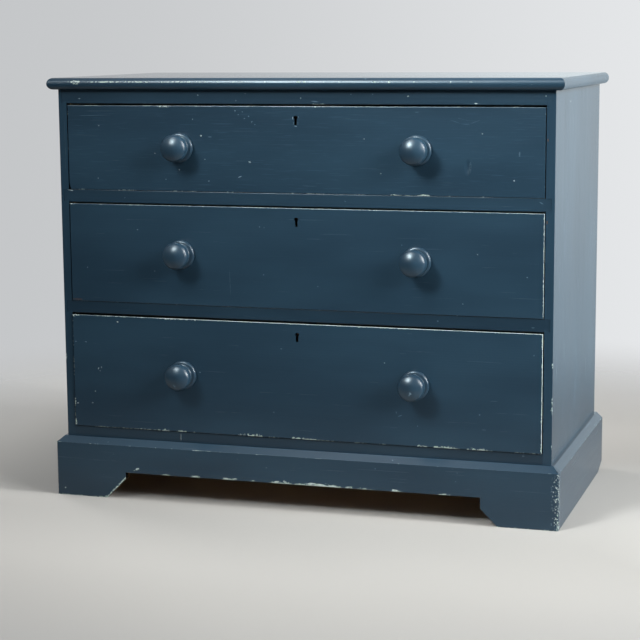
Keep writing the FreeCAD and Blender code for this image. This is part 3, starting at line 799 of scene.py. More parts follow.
plinth = {
    "ease": 0.0012, "corner": 0.003, "archTop": 0.0515, "chamferFoot": 0.104, "chamferRun": 12 / 11,
    "cuts": {0: 0.008, 1: 0.01, 2: 0.01}, "archCuts": (0.003, 0.007), "cornerAngles": (0, 11, 22, 33, 45),
    # where the arch ends over each foot, where the foot steps to the floor, and its wear
    "leftFoot": {"arch": -0.3445, "step": -0.384, "rise": 0.0395, "slope": (1.0, 0.4), "sole": (0.7, 0.4)},
    "rightFoot": {"arch": 0.3445, "step": 0.376, "rise": 0.0315, "slope": (0.3, 0.1), "sole": (0.5, 0.2)},
    "soffit": (dashes(0.1, (-266, -256, 0.9), (-212, -190, 1.1), (-150, -122, 1.2), (-92, -82, 0.9),
                      (-48, -16, 1.2), (0, 10, 1.1), (17, 83, 1.7), (92, 106, 1.2), (119, 142, 0.9),
                      (178, 197, 1.2), (271, 290, 0.9)), [(0, 0.1)]),
    "chamfer": (dashes(0.16, (-425, -395, 0.45), (-235, -200, 0.4)), [(0, 0.16)]),
    "sideChamfer": (dashes(0.3), [(0, 0.2)]),
    "leftCorner": (dashes(0.35), [(0, 0.06)], 0),
    "rightCorner": (dashes(0.25, (2, 18, 1.0), (60, 70, 0.7)), [(0, 0.06)], 1.0),
    "marks": [(-261, 53.5, 8, 2.4, 0.7, 4), (-201, 54, 13, 3, 0.85, 3), (-140, 54, 14, 3.2, 0.85, -4),
              (-122, 54.4, 8, 2.6, 0.8), (-86, 53.6, 7, 2.4, 0.8), (-40, 54.6, 12, 3.4, 0.85, 8),
              (-24, 56, 9, 3.6, 0.7, -12), (5, 53.8, 7, 2.6, 0.8), (27, 55.4, 17, 4.6, 0.9, 5),
              (46, 54.4, 20, 4.4, 0.95, -3), (70, 54, 15, 3, 0.9), (98, 54, 10, 3, 0.8, 6),
              (130, 53.6, 9, 2.4, 0.7), (187, 54.2, 15, 3.4, 0.9, -4), (280, 53.6, 9, 2.4, 0.75),
              (-320, 60, 8, 5, 0.9, 20), (-326, 57, 3, 2, 0.8), (-471, 14, 3, 3, 0.8),
              (150, 92, 3, 2, 0.35), (300, 78, 2, 1.6, 0.4), (-60, 80, 2.2, 1.6, 0.35)],
}


def setBack(height):  # how far the chamfer stands back from the face
    return np.maximum(height - plinth["chamferFoot"], 0) * plinth["chamferRun"]


def roundCorner(bm, low, high, side, radius):  # the mitred arris turned to an arc, on either piece
    sign = 1 if side == "right" else -1
    corner = high.x if side == "right" else low.x
    least = radius * (1 - math.sqrt(0.5))
    for vert in bm.verts:
        back = setBack(vert.co.z)
        fromSide = sign * (corner - vert.co.x) - back
        fromFront = vert.co.y - low.y - back
        if fromSide < -near or fromFront < -near or max(fromSide, fromFront) > radius:
            continue
        if fromFront < close:
            fromSide = max(fromSide, least)
            fromFront = radius - math.sqrt(radius ** 2 - (radius - fromSide) ** 2)
        elif fromSide < close:
            fromFront = max(fromFront, least)
            fromSide = radius - math.sqrt(radius ** 2 - (radius - fromFront) ** 2)
        else:
            continue
        vert.co.x = corner - sign * (fromSide + back)
        vert.co.y = low.y + fromFront + back


def easePlinth(bm, node, low, high):  # every sharp outside edge but the mitres
    isFront = node == "plinth_front"
    outer = high.x if node.startswith("right") else low.x

    def outside(vert):
        return abs(vert.co.y - low.y) < close if isFront else abs(vert.co.x - outer) < close

    def mitre(vert):
        return abs(vert.co.x) > high.x - close if isFront else vert.co.y < low.y + close

    ease(bm, sharpEdges(bm, lambda edge: all(outside(vert) for vert in edge.verts)
                        and not all(mitre(vert) for vert in edge.verts)), plinth["ease"])


def plinthLines(node, low, high):  # the edges where paint has worn off
    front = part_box("plinth_front")[0].y
    isFront = node == "plinth_front"
    height = plinth["chamferFoot"]
    lines = []
    inset = plinth["corner"] * easedMiddle
    for side, corner in (("left", low.x + inset), ("right", high.x - inset)):
        if isFront or node.startswith(side):
            spot = (corner, front + inset)
            lines.append(((*spot, 0), (*spot, height), "z", *plinth[side + "Corner"]))
    if not isFront:
        outer = high.x if node.startswith("right") else low.x
        return lines + [((outer, low.y, height), (outer, high.y, height), "y", *plinth["sideChamfer"])]
    inset = plinth["ease"] * easedMiddle
    at, top = front + inset, plinth["archTop"] + inset
    feet = (plinth["leftFoot"], low.x), (plinth["rightFoot"], high.x)
    lines.append((*((foot["arch"], at, top) for foot, end in feet), "x", *plinth["soffit"]))
    lines.append(((low.x, front, height), (high.x, front, height), "x", *plinth["chamfer"]))
    for foot, end in feet:
        wear, line = foot["slope"]
        slope = (foot["step"], at, inset), (foot["arch"], at, foot["rise"] + inset)
        lines.append((*slope, "x", dashes(wear), [(0, line)]))
        wear, line = foot["sole"]
        sole = ((x, at, inset) for x in sorted((foot["step"], end)))
        lines.append((*sole, "x", dashes(wear), [(0, line)]))
    return lines


def makePlinth():
    steps = [plinth["corner"] * (1 - math.sin(math.radians(angle))) for angle in plinth["cornerAngles"]]
    foot, arch = plinth["chamferFoot"], plinth["archTop"]
    for node in ("plinth_front", "left_plinth_side", "right_plinth_side"):
        low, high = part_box(node)
        isFront = node == "plinth_front"
        side = "right" if node.startswith("right") else "left"
        bm = mergedCopy(node)
        easePlinth(bm, node, low, high)
        cutAcross(bm, 2, [*closeCuts, foot - closeCuts[0], *(arch + cut for cut in plinth["archCuts"])])
        cutAcross(bm, 2, span(low.z, high.z, plinth["cuts"][2]))
        if isFront:
            cutAcross(bm, 0, span(low.x, high.x, plinth["cuts"][0]))
            cutAcross(bm, 0, [low.x + step for step in steps] + [high.x - step for step in steps])
            roundCorner(bm, low, high, "left", plinth["corner"])
            roundCorner(bm, low, high, "right", plinth["corner"])
            addChips(bm, node, plinth["marks"], low.y)
        else:
            cutAcross(bm, 1, span(low.y, high.y, plinth["cuts"][1]))
            cutAcross(bm, 1, [low.y + step for step in steps])
            roundCorner(bm, low, high, side, plinth["corner"])
        bmesh.ops.remove_doubles(bm, verts=bm.verts[:], dist=near)
        mesh = toMesh(bm, camel(node))
        dress(mesh, node, "xz" if isFront else "yz", ("front" if isFront else side, "top"),
              plinthLines(node, low, high), skin=lambda place: setBack(place[:, 2]))
        setIn(mesh, camel(node), "carcass", [node], paintedPine)
    print("plinth")


makePlinth()


# drawer fronts

drawerFronts = {
    "top_drawer_front": {
        "edges": {
            "frontTop": (dashes(0.24, (-268, -240, 0.9), (-10, 48, 0.55)), 0.3),
            "frontBottom": (dashes(0.3, (178, 190, 0.8), (229, 245, 0.9), (281, 285, 0.7)), 0.18),
            "frontLeft": (dashes(0.15), 0.08),
            "frontRight": (dashes(0.25), 0.18),
        },
        "marks": [(-397, 728, 70, 0.7, 0.3, 1), (-389, 709, 2.2, 2, 0.6), (-277, 659, 1.8, 1.8, 0.6),
                  (-201, 722, 1.8, 1.8, 0.6), (-185, 692, 3, 3.6, 0.68), (-178, 649, 1.8, 1.8, 0.6),
                  (-229, 629, 2.2, 2.6, 0.6), (-256, 611, 2.2, 2, 0.5), (-171, 609, 2.2, 2, 0.5),
                  (-393, 611, 2, 2, 0.6), (-91, 645, 6, 3.0, 0.58, -12), (-110, 618, 9, 1.6, 0.5, 22),
                  (-118, 738, 2, 2.6, 0.5), (-112, 731, 2, 2, 0.45), (-104, 736, 1.6, 2, 0.45),
                  (-100, 724, 3, 1.6, 0.4, 30), (-92, 728, 2.4, 2, 0.4), (-86, 718, 4, 1.4, 0.4, 40),
                  (-80, 713, 2, 1.6, 0.4), (-168, 690, 9, 2, 0.2), (341, 700, 2.4, 2.4, 0.66),
                  (126, 689, 2.2, 1.8, 0.7), (157, 628, 2.4, 2.2, 0.7), (398, 619, 2.4, 3, 0.62, 30),
                  (-2.2, 710.8, 6.5, 2.2, 0.46), (-7.6, 725.5, 1.8, 6, 0.55), (-6.4, 716, 1.2, 6, 0.3),
                  (3.2, 727, 1.4, 4, 0.36), (2.0, 716, 1.2, 6, 0.22), (223, 737, 9, 0.8, 0.5),
                  (407, 665, 3.2, 10, 0.2), (292, 721, 22, 0.8, 0.22, -18), (312, 716, 18, 0.8, 0.22, -4),
                  (329, 721, 20, 0.8, 0.22, 20), (306, 725, 24, 0.7, 0.18, -12),
                  # a faint pale patch on the dent's right wall: a painted highlight
                  (319.5, 641, 5.5, 20, 0.15)],
        "dent": {"spot": (0.315, 0.641), "size": (0.013, 0.030), "depth": 0.0020},
        "notch": {"width": 0.0036, "height": 0.010, "fade": 0.016},
        "relief": 0.95,
    },
    "middle_drawer_front": {
        "edges": {
            "frontTop": (dashes(0.3, (-455, -440, 0.9)), [(-0.45, 0.3), (0.0, 0.42), (0.45, 0.55)]),
            "frontBottom": (dashes(0.1), 0.05),
            "frontLeft": (dashes(0.12), 0.08),
            "frontRight": (dashes(0.45), 0.62),
        },
        "marks": [(-441, 380.2, 24, 3.6, -0.55), (-315, 516, 2.6, 2, 0.5), (-73, 527, 2.2, 1.8, 0.5),
                  (-64, 526, 1.6, 1.6, 0.4), (-419, 442, 2, 2, 0.5), (-66, 439, 2, 2, 0.5),
                  (-282, 439, 1.8, 1.8, 0.5), (38, 421, 2, 1.8, 0.5), (334, 488, 2.2, 2, 0.6),
                  (308, 399, 2.2, 1.8, 0.5), (423, 450, 2, 2, 0.5), (196, 501, 2, 1.8, 0.5),
                  (-132, 422, 0.9, 64, 0.16, 2), (-50, 474, 105, 0.7, 0.12, 1)],
    },
    "bottom_drawer_front": {
        "edges": {
            "frontTop": (dashes(0.45, (-452, -440, 1.4), (-272, -190, 0.7)),
                         [(-0.45, 0.45), (-0.29, 0.5), (-0.26, 0.85), (0.45, 0.85)]),
            "frontBottom": (dashes(0.36, (-314, -302, 1.05), (-275, -255, 1.1), (-239, -226, 1.05),
                                   (-116, -76, 1.35), (-18, 31, 1.1), (225, 242, 1.1), (257, 297, 1.2),
                                   (323, 354, 1.1)), 0.2),
            "frontLeft": (dashes(0.28, (137, 146, 1.1), (178, 184, 1.1)), 0.12),
            "frontRight": (dashes(0.6), 0.9),
        },
        "marks": [(-359, 340, 3.6, 2.6, 0.85), (-447, 299, 4, 1.6, 0.5), (-426, 299, 4.4, 1.4, 0.5, -8),
                  (-401, 249, 1.8, 4.4, 0.7, -25), (-395, 251, 1.8, 3.6, 0.6, 30),
                  (-398, 244, 1.6, 1.6, 0.6), (-409, 204, 1.8, 2.6, 0.85), (-446, 179, 5, 1.8, 0.75),
                  (-415, 181, 3.2, 1.6, 0.65, -20), (-194, 251, 3.4, 1.6, 0.55, -30),
                  (193, 190, 9, 1.6, 0.35, 20), (186, 196, 1.4, 5, 0.3, 10), (348, 173, 9, 1.2, 0.22),
                  (-49, 183, 2, 2, 0.4), (-33, 303, 4, 2.4, 0.3),
                  (164, 286, 2, 2, 0.6), (437, 312, 2, 3, 0.35), (366, 226, 16, 1.0, 0.14),
                  (340, 200, 3, 2, 0.4), (226, 173, 2, 2, 0.35)],
    },
}
drawerFace = {"ease": 0.0012, "cuts": {0: 0.008, 2: 0.012}, "deep": (*closeCuts, 0.009)}
keyhole = {"below": 0.017, "height": 0.017, "reach": 0.004, "head": 0.0062,
           "wornHead": 1.45, "wornSlot": 1.4, "drop": 1.2}


def widenKeyhole(bm, node):  # keys have worn the hole wider than it was cut
    lockLow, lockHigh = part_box(node.replace("drawer_front", "lock_case"))
    middle = (lockLow.x + lockHigh.x) / 2
    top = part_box(node)[1].z - keyhole["below"] + close
    bottom = top - keyhole["height"] - close * 2
    for vert in bm.verts:
        if abs(vert.co.x - middle) < keyhole["reach"] and bottom < vert.co.z < top:
            isHead = vert.co.z > top - keyhole["head"]
            vert.co.x = middle + (vert.co.x - middle) * keyhole["wornHead" if isHead else "wornSlot"]
            if isHead:
                vert.co.z = top - (top - vert.co.z) * keyhole["drop"]


def knockCorner(bm, low, notch):  # the lower left corner, worn back from the side
    for vert in bm.verts:
        rise = (vert.co.z - low.z) / notch["height"]
        inward = (vert.co.x - low.x) / notch["fade"]
        deep = (vert.co.y - low.y) / notch["fade"]
        if max(rise, inward, deep) < 1:
            vert.co.x += notch["width"] * (1 - rise) * (1 - inward) * (1 - deep)


def makeDrawerFronts():
    for node, look in drawerFronts.items():
        low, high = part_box(node)
        dent = look.get("dent")
        bm = mergedCopy(node)
        widenKeyhole(bm, node)
        ease(bm, frontEdges(bm, low, high), drawerFace["ease"])
        cutNearEdges(bm, low, high, (0, 2), drawerFace["cuts"])
        cutAcross(bm, 1, [low.y + cut for cut in drawerFace["deep"]])
        if "notch" in look:
            knockCorner(bm, low, look["notch"])
        addChips(bm, node, look["marks"], low.y)
        if dent:
            hollow(bm, dent, low.y)
        mesh = toMesh(bm, camel(node))
        lines = edgeLines(low, high, look["edges"], drawerFace["ease"])
        dress(mesh, node, "xz", ("front",), lines, look.get("relief", plainRelief),
              skin=lambda place: dentDepth(place[:, 0], place[:, 2], dent) if dent else 0.0)
        setIn(mesh, camel(node), bodyOf[node], [node], paintedPine)
    print("drawer fronts:", len(drawerFronts))


makeDrawerFronts()


# knobs: one turned shape, set in pairs on each drawer front

knob = {
    "collarRadius": 0.027, "collarThickness": 0.009, "cove": 0.0045, "ballRadius": 0.025,
    "crownDepth": 0.01517, "flattening": 0.00435, "tenonRadius": 0.009, "tenonLength": 0.022,
    "segments": 96, "arcSteps": {"rim": 14, "cove": 8, "ball": 12, "shoulder": 8, "crown": 10},
    "dirt": 0.1, "relief": 0.3, "seed": 4, "scuffFade": 1.6, "scuffFrom": 0.03,
    # a scuff has its knob of the pair, place along, place up and width in mm, and a strength
    "scuffs": {"bottom": [(1, 2.6, -7.5, 2.6, 0.5), (1, 0.6, -10.5, 1.6, 0.35), (0, -0.9, -15.0, 2.0, 0.3),
                          (0, -2.4, -12.6, 1.2, 0.35)]},
}


def arc(centre, radius, start, end, steps):
    return [(centre[0] + radius * math.cos(start + (end - start) * n / steps),
             centre[1] + radius * math.sin(start + (end - start) * n / steps)) for n in range(steps + 1)]


def knobProfile():  # radius and distance from the drawer's face, from the tenon's end to the crown
    rim = knob["collarThickness"] / 2
    flat = knob["collarRadius"] - rim
    neck = flat - knob["cove"]
    neckPlace = knob["collarThickness"] + knob["cove"]
    ballPlace = neckPlace + math.sqrt(knob["ballRadius"] ** 2 - neck ** 2)
    shoulder = knob["crownDepth"] - knob["flattening"]
    shoulderCentre = knob["ballRadius"] - shoulder
    crown = (shoulderCentre ** 2 + knob["crownDepth"] ** 2 - shoulder ** 2) / (2 * knob["flattening"])
    turn = math.acos(shoulderCentre / (crown - shoulder))
    tip = ballPlace + knob["crownDepth"]
    quarter = math.pi / 2
    tenon = knob["tenonRadius"]
    neckTurn = -math.acos(neck / knob["ballRadius"])
    steps = knob["arcSteps"]
    profile = [(0, -knob["tenonLength"]), (tenon, -knob["tenonLength"]), (tenon, 0)]
    profile += arc((flat, rim), rim, -quarter, quarter, steps["rim"])
    profile += arc((flat, neckPlace), knob["cove"], -quarter, -2 * quarter, steps["cove"])[1:]
    profile += arc((0, ballPlace), knob["ballRadius"], neckTurn, 0, steps["ball"])[1:]
    profile += arc((shoulderCentre, ballPlace), shoulder, 0, turn, steps["shoulder"])[1:]
    profile += arc((0, tip - crown), crown, turn, quarter, steps["crown"])[1:]
    return profile


def turnedMesh(name, profile, segments):
    bm = bmesh.new()
    rings = []
    for radius, distance in profile:
        ring = []
        for n in range(segments if radius > near else 1):
            angle = 2 * math.pi * n / segments
            ring.append(bm.verts.new((radius * math.cos(angle), -distance, radius * math.sin(angle))))
        rings.append(ring)
    for one, two in zip(rings, rings[1:]):
        for n in range(segments):
            after = n + 1
            corners = [one[n % len(one)], one[after % len(one)], two[after % len(two)], two[n % len(two)]]
            face = bm.faces.new(list(dict.fromkeys(corners)))
            face.smooth = True
    bmesh.ops.recalc_face_normals(bm, faces=bm.faces[:])
    return toMesh(bm, name)


geometrySocket = ("Geometry", "NodeSocketGeometry")


def finishTree(tree, instances, material, end):  # instances made real, then given their material
    real = add(tree, "GeometryNodeRealizeInstances", {0: instances.outputs[0]})
    finish = add(tree, "GeometryNodeSetMaterial", {"Geometry": real.outputs[0], "Material": material})
    tree.links.new(finish.outputs[0], end.inputs[0])


def makePairTree():
    tree, start, end = group(
        "knobPair", "GeometryNodeTree",
        [geometrySocket, ("Left", "NodeSocketVector"), ("Right", "NodeSocketVector"),
         ("Seed", "NodeSocketInt"), ("Finish", "NodeSocketMaterial")], [geometrySocket])
    given = start.outputs
    line = add(tree, "GeometryNodeMeshLine",
               {"Count": 2, "Start Location": given["Left"], "Offset": given["Right"]}, mode="END_POINTS")
    turn = add(tree, "FunctionNodeRandomValue",
               {0: (0.0, -math.pi, 0.0), 1: (0.0, math.pi, 0.0), "Seed": given["Seed"]},
               data_type="FLOAT_VECTOR")
    instances = add(tree, "GeometryNodeInstanceOnPoints",
                    {"Points": line.outputs[0], "Instance": given["Geometry"], "Rotation": turn.outputs[0]})
    finishTree(tree, instances, given["Finish"], end)
    return tree


def grown(tree, mesh, name, values):  # the mesh that a geometry node tree makes from a mesh
    carrier = bpy.data.objects.new(name, mesh)
    scene.collection.objects.link(carrier)
    modifier = carrier.modifiers.new(name, "NODES")
    modifier.node_group = tree
    for item in tree.interface.items_tree:
        if item.in_out == "INPUT" and item.name in values:
            modifier[item.identifier] = values[item.name]
    bpy.context.view_layer.update()
    evaluated = carrier.evaluated_get(bpy.context.evaluated_depsgraph_get())
    result = bpy.data.meshes.new_from_object(evaluated)
    carrier.modifiers.remove(modifier)
    bpy.data.objects.remove(carrier)
    result.name = name
    return result


def scuffsOn(spots, drawer, middles):  # how far paint is rubbed off the balls, point by point
    chip = np.zeros(len(spots))
    for which, along, up, size, strength in knob["scuffs"].get(drawer, ()):
        x, face, z = middles[which]
        away = np.hypot(spots[:, 0] - x - along / 1000, spots[:, 2] - z - up / 1000)
        fade = np.clip(knob["scuffFade"] * (1 - away * 1000 / size), 0, 1)
        chip = np.maximum(chip, strength * fade * (spots[:, 1] < face - knob["scuffFrom"]))
    return chip


def makeKnobs():
    mesh = turnedMesh("knobShape", knobProfile(), knob["segments"])
    spots = points(mesh)
    store(mesh, "grainPlace", "FLOAT_VECTOR", spots[:, [1, 0, 2]])
    store(mesh, "paintDepth", "FLOAT", np.maximum(0, spots[:, 1]))
    amounts = {"edgeGap": farFromEdge, "wear": 0.0, "relief": knob["relief"], "dirt": knob["dirt"]}
    for label, amount in amounts.items():
        store(mesh, label, "FLOAT", np.full(len(spots), amount))
    tree = makePairTree()
    for seed, drawer in enumerate(("top", "middle", "bottom"), knob["seed"]):
        nodes = [drawer + "_drawer_left_knob", drawer + "_drawer_right_knob"]
        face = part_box(drawer + "_drawer_front")[0].y
        middles = []
        for node in nodes:
            low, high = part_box(node)
            middles.append(((low.x + high.x) / 2, face, (low.z + high.z) / 2))
        pair = grown(tree, mesh.copy(), drawer + "Knobs", {
            "Left": middles[0], "Right": middles[1], "Seed": seed, "Finish": paintedKnob})
        store(pair, "chip", "FLOAT", scuffsOn(points(pair), drawer, middles))
        setIn(pair, drawer + "Knobs", drawer + "_drawer", nodes, paintedKnob)
    print("knobs set in pairs")


makeKnobs()


# nails and screws: one shape each, set at every place where its node has a solid

fasteners = {
    "nail": {"head": 0.0029, "dome": 0.0011, "shank": 0.0015, "length": 0.028, "segments": 20},
    "screw": {"head": 0.0027, "sink": 0.0022, "shank": 0.0016, "length": 0.0152, "slot": 0.0008,
              "slotDepth": 0.0009, "segments": 24},
    "topScrew": {"head": 0.0040, "sink": 0.0030, "shank": 0.0022, "length": 0.0325, "slot": 0.0011,
                 "slotDepth": 0.0012, "segments": 24},
    "seed": 11,
    # node, kind, axis, and which way along it the heads look
    "sets": [("back_nails", "nail", "y", 1), ("top_lock_screws", "screw", "y", 1),
             ("middle_lock_screws", "screw", "y", 1), ("bottom_lock_screws", "screw", "y", 1),
             ("top_screws", "topScrew", "z", -1)],
}


def nailProfile(look):  # the same order as a knob: from the buried end to the middle of the head
    length, shank, head, dome = look["length"], look["shank"], look["head"], look["dome"]
    rise = [(head * math.cos(angle), dome * math.sin(angle) - dome * 0.25)
            for angle in (0, 0.35, 0.7, 1.05)]
    return [(0, -length), (shank * 0.5, -length * 0.97), (shank, -length * 0.85), (shank, -dome * 0.6),
            (head, -dome * 0.5), *rise, (0, dome * 0.75)]


def screwProfile(look):
    length, shank, head = look["length"], look["shank"], look["head"]
    return [(0, -length), (shank * 0.3, -length * 0.97), (shank, -length * 0.7), (shank, -look["sink"]),
            (head, -0.0003), (head - 0.0002, 0), (0, 0)]


def cutSlot(mesh, look):  # a straight slot sunk in the head
    bm = bmesh.new()
    bm.from_mesh(mesh)
    half = look["slot"] / 2
    cutAcross(bm, 0, [-half, half])
    floor = [face for face in bm.faces
             if face.normal.y < -0.9 and abs(face.calc_center_median().x) < half
             and all(abs(vert.co.y) < near for vert in face.verts)]
    made = bmesh.ops.extrude_face_region(bm, geom=floor)
    for vert in (item for item in made["geom"] if isinstance(item, bmesh.types.BMVert)):
        vert.co.y += look["slotDepth"]
    bmesh.ops.delete(bm, geom=floor, context="FACES")
    bm.to_mesh(mesh)
    bm.free()


def makeFastenerTree():
    tree, start, end = group(
        "fasteners", "GeometryNodeTree",
        [geometrySocket, ("Shape", "NodeSocketObject"), ("Axis", "NodeSocketVector"),
         ("Seed", "NodeSocketInt"), ("Finish", "NodeSocketMaterial")], [geometrySocket])
    given = start.outputs
    angle = add(tree, "FunctionNodeRandomValue", {2: 0.0, 3: math.pi, "Seed": given["Seed"]},
                data_type="FLOAT")
    turn = add(tree, "ShaderNodeVectorMath", {0: given["Axis"], "Scale": angle.outputs[1]},
               operation="SCALE")
    shape = add(tree, "GeometryNodeObjectInfo", {"Object": given["Shape"]})
    instances = add(tree, "GeometryNodeInstanceOnPoints", {
        "Points": given["Geometry"], "Instance": shape.outputs["Geometry"], "Rotation": turn.outputs[0]})
    finishTree(tree, instances, given["Finish"], end)
    return tree


def solidsOf(node):  # the box of each separate solid in a node
    bm = mergedCopy(node)
    left, boxes = set(bm.verts), []
    while left:
        grow, found = [left.pop()], []
        while grow:
            vert = grow.pop()
            found.append(vert.co.copy())
            for edge in vert.link_edges:
                other = edge.other_vert(vert)
                if other in left:
                    left.remove(other)
                    grow.append(other)
        boxes.append([Vector(pick(spot[axis] for spot in found) for axis in range(3))
                      for pick in (min, max)])
    bm.free()
    return sorted(boxes, key=lambda box: tuple(round(value, 4) for value in box[0]))


def makeFasteners():
    tree = makeFastenerTree()
    for seed, (node, kind, axis, side) in enumerate(fasteners["sets"], fasteners["seed"]):
        look, along, isNail = fasteners[kind], axisIndex[axis], kind == "nail"
        mesh = turnedMesh(kind, nailProfile(look) if isNail else screwProfile(look), look["segments"])
        if not isNail:
            cutSlot(mesh, look)
        mesh.transform(Matrix.Rotation(math.pi if axis == "y" else math.pi / 2, 4, "X"))
        shape = bpy.data.objects.new(kind, mesh)
        scene.collection.objects.link(shape)
        spots = []
        for low, high in solidsOf(node):
            spot = (low + high) / 2
            spot[along] = (high if side > 0 else low)[along] - (look["dome"] * 0.75 if isNail else 0)
            spots.append(spot)
        holder = bpy.data.meshes.new(node)
        holder.from_pydata(spots, [], [])
        turnAxis = tuple(float(n == along) for n in range(3))
        made = grown(tree, holder, camel(node), {
            "Shape": shape, "Axis": turnAxis, "Seed": seed, "Finish": lockIron})
        bpy.data.objects.remove(shape)
        setIn(made, camel(node), bodyOf[node], [node], lockIron)
        print(node, len(spots))


makeFasteners()


# lock cases and bolts keep their own shape

def finishMetal():
    for node, item in frame["nodes"].items():
        for word, material in (("lock_case", lockIron), ("lock_bolt", boltSteel)):
            if word in node:
                item.data.materials.clear()
                item.data.materials.append(material)
    print("lock metal")


finishMetal()


# floor, light and camera

stage = {"floor": tone(186, 184, 179), "mottle": tone(150, 148, 145), "roughness": 0.85, "glow": 0.26,
         "paintedShadeReach": 0.4, "reach": (0.7, 1.9), "segments": 96}


def makeStage():
    high = cadBox[1]
    material, tree, surface = newMaterial("paleFloor")
    here = add(tree, "ShaderNodeTexCoord").outputs["Object"]
    mottle = speckle(tree, here, 3.0, 4.0)
    feed(tree, surface.inputs["Base Color"],
         blend(tree, calc(tree, "MULTIPLY", mottle, 0.08), stage["floor"], stage["mottle"]))
    surface.inputs["Roughness"].default_value = stage["roughness"]
    # the floor thins out into the pale room, so that no edge shows from any side
    spread = add(tree, "ShaderNodeVectorMath", {0: here}, operation="LENGTH").outputs["Value"]
    fade = remap(tree, spread, *stage["reach"])
    path = add(tree, "ShaderNodeLightPath").outputs
    feed(tree, surface.inputs["Emission Color"], stage["floor"])
    # the glow the eye sees is held off under and beside the chest, which leaves the floor darker there:
    # painted shade round the chest's foot
    side = add(tree, "ShaderNodeVectorMath", {0: here}, operation="ABSOLUTE").outputs[0]
    side = add(tree, "ShaderNodeSeparateXYZ", {0: side}).outputs
    away = [calc(tree, "SUBTRACT", side["X"], high.x), calc(tree, "SUBTRACT", side["Y"], high.y)]
    off = calc(tree, "MAXIMUM", *away)
    glow = calc(tree, "MULTIPLY", remap(tree, off, 0.0, stage["paintedShadeReach"]), stage["glow"])
    feed(tree, surface.inputs["Emission Strength"], calc(tree, "MULTIPLY", path["Is Camera Ray"], glow))
    clear = add(tree, "ShaderNodeBsdfTransparent")
    shown = add(tree, "ShaderNodeMixShader", {0: fade, 1: surface.outputs[0], 2: clear.outputs[0]})
    tree.links.new(shown.outputs[0], tree.nodes["Material Output"].inputs["Surface"])
    bm = bmesh.new()
    bmesh.ops.create_circle(bm, cap_ends=True, radius=stage["reach"][1], segments=stage["segments"])
    mesh = toMesh(bm, "paleFloor")
    mesh.materials.append(material)
    floor = bpy.data.objects.new("paleFloor", mesh)
    scene.collection.objects.link(floor)


lamps = {
    "keyLamp": {"place": (-0.75, -2.0, 2.1), "aim": (0.95, -0.25, 0.98), "size": (0.6, 0.6),
                "power": 12.6, "spread": 75, "shine": 3.5},
    "leftLamp": {"place": (-0.92, -1.53, 1.55), "aim": (-0.45, -0.25, 0.62), "size": (0.2, 0.2),
                 "power": 0.5, "spread": 70},
    "overhead": {"place": (-0.35, -1.25, 2.45), "aim": (0.45, -0.25, 0.90), "size": (1.3, 0.9),
                 "power": 2.8, "spread": 70},
    "rightWindow": {"place": (2.57, -1.16, 1.94), "aim": (0.60, -0.22, 1.0), "size": (1.6, 1.4),
                    "power": 7.4, "spread": 48, "shine": 2.5},
    "sideWindow": {"place": (2.3, -0.36, 1.70), "aim": (0.47, -0.02, 0.95), "size": (0.13, 2.6),
                   "power": 21.0, "spread": 70},
    "floorBounce": {"place": (0.1, -1.0, 0.02), "aim": (0.1, -0.2, 0.7), "size": (1.5, 0.5),
                    "power": 0.25, "spread": 150, "shine": 0},
    "rearFill": {"place": (-2.6, 1.6, 2.0), "aim": (0.0, 0.2, 0.4), "size": (1.2, 1.2),
                 "power": 8, "spread": 80},
}
room = {
    "low": (0.05, 0.052, 0.054, 1.0), "high": (0.20, 0.205, 0.215, 1.0),
    "ahead": (0.06, 0.064, 0.068, 1.0), "ceiling": (0.50, 0.51, 0.53, 1.0),
    "paleLeft": tone(196, 198, 200), "paleRight": tone(234, 236, 238),
    "mirroredWall": tone(243, 252, 255), "wallFoot": tone(200, 215, 224),
    "glint": (0.6, 0.88, 1.0),  # the cool light that only gloss sees
}


def addLamp(name, look, power):
    data = bpy.data.lights.new(name, "AREA")
    data.shape = "RECTANGLE"
    data.size, data.size_y = look["size"]
    data.energy = power
    data.spread = math.radians(look["spread"])
    lamp = bpy.data.objects.new(name, data)
    lamp.visible_camera = False
    scene.collection.objects.link(lamp)
    lamp.location = look["place"]
    backward = Vector(look["place"]) - Vector(look["aim"])
    lamp.rotation_euler = backward.to_track_quat("Z", "Y").to_euler()
    return lamp


def makeLight():  # gloss sees some lamps brighter than the paint does, and one not at all
    for name, look in lamps.items():
        shine = look.get("shine", 1.0)
        addLamp(name, look, look["power"]).visible_glossy = shine > 0
        if shine > 1:
            glint = addLamp(name + "Shine", look, look["power"] * (shine - 1))
            glint.visible_diffuse = False
            glint.data.color = room["glint"]


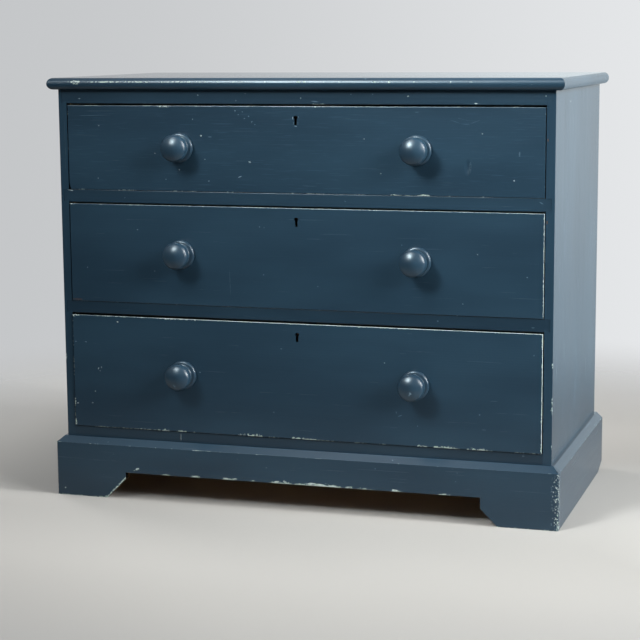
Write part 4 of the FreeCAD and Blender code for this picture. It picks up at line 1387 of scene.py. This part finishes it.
def makeRoom():  # the eye sees a pale wall, gloss sees it behind the chest and a dim room in front
    world = bpy.data.worlds.new("room")
    scene.world = world
    world.use_nodes = True
    tree = world.node_tree
    facing = add(tree, "ShaderNodeSeparateXYZ", {0: add(tree, "ShaderNodeTexCoord").outputs["Generated"]})
    x, y, z = facing.outputs
    path = add(tree, "ShaderNodeLightPath").outputs
    light = blend(tree, remap(tree, z, 0.0, 0.8), room["low"], room["high"])
    # the wall the eye sees is darker at the left and lighter at the right: painted light across the
    # backdrop
    wall = blend(tree, remap(tree, x, -0.5, 0.0), room["paleLeft"], room["paleRight"])
    gloss = blend(tree, remap(tree, z, 0.08, 0.55), room["ahead"], room["ceiling"])
    mirrored = blend(tree, remap(tree, x, -0.41, -0.12), room["paleLeft"], room["mirroredWall"])
    mirrored = blend(tree, remap(tree, z, -0.19, -0.03), room["wallFoot"], mirrored)
    gloss = blend(tree, remap(tree, y, -0.1, 0.4), gloss, mirrored)
    shine = calc(tree, "MAXIMUM", path["Is Glossy Ray"], path["Is Transmission Ray"])
    seen = blend(tree, shine, light, gloss)
    seen = blend(tree, path["Is Camera Ray"], seen, wall)
    feed(tree, tree.nodes["Background"].inputs["Color"], seen)


view = {"place": (1.01328, -3.29439, 0.86393), "yaw": -0.306315, "pitch": 0.155316, "roll": -0.007133,
        "focus": 1788.395, "frame": 640, "sensor": 36.0}


def makeCamera():
    yaw, pitch, roll = view["yaw"], view["pitch"], view["roll"]
    ahead = Vector((math.sin(yaw) * math.cos(pitch), math.cos(yaw) * math.cos(pitch), -math.sin(pitch)))
    right = Vector((math.cos(yaw), -math.sin(yaw), 0))
    up = right.cross(ahead)
    rightTurned = right * math.cos(roll) + up * math.sin(roll)
    upTurned = up * math.cos(roll) - right * math.sin(roll)
    data = bpy.data.cameras.new("photoView")
    data.sensor_fit = "HORIZONTAL"
    data.sensor_width = view["sensor"]
    data.lens = view["sensor"] * view["focus"] / view["frame"]
    camera = bpy.data.objects.new("photoView", data)
    scene.collection.objects.link(camera)
    turn = Matrix((rightTurned, upTurned, -ahead)).transposed()
    camera.matrix_world = Matrix.Translation(view["place"]) @ turn.to_4x4()
    scene.camera = camera


makeStage()
makeLight()
makeRoom()
makeCamera()
scene.view_settings.view_transform = "Standard"
print("stage, light and camera")
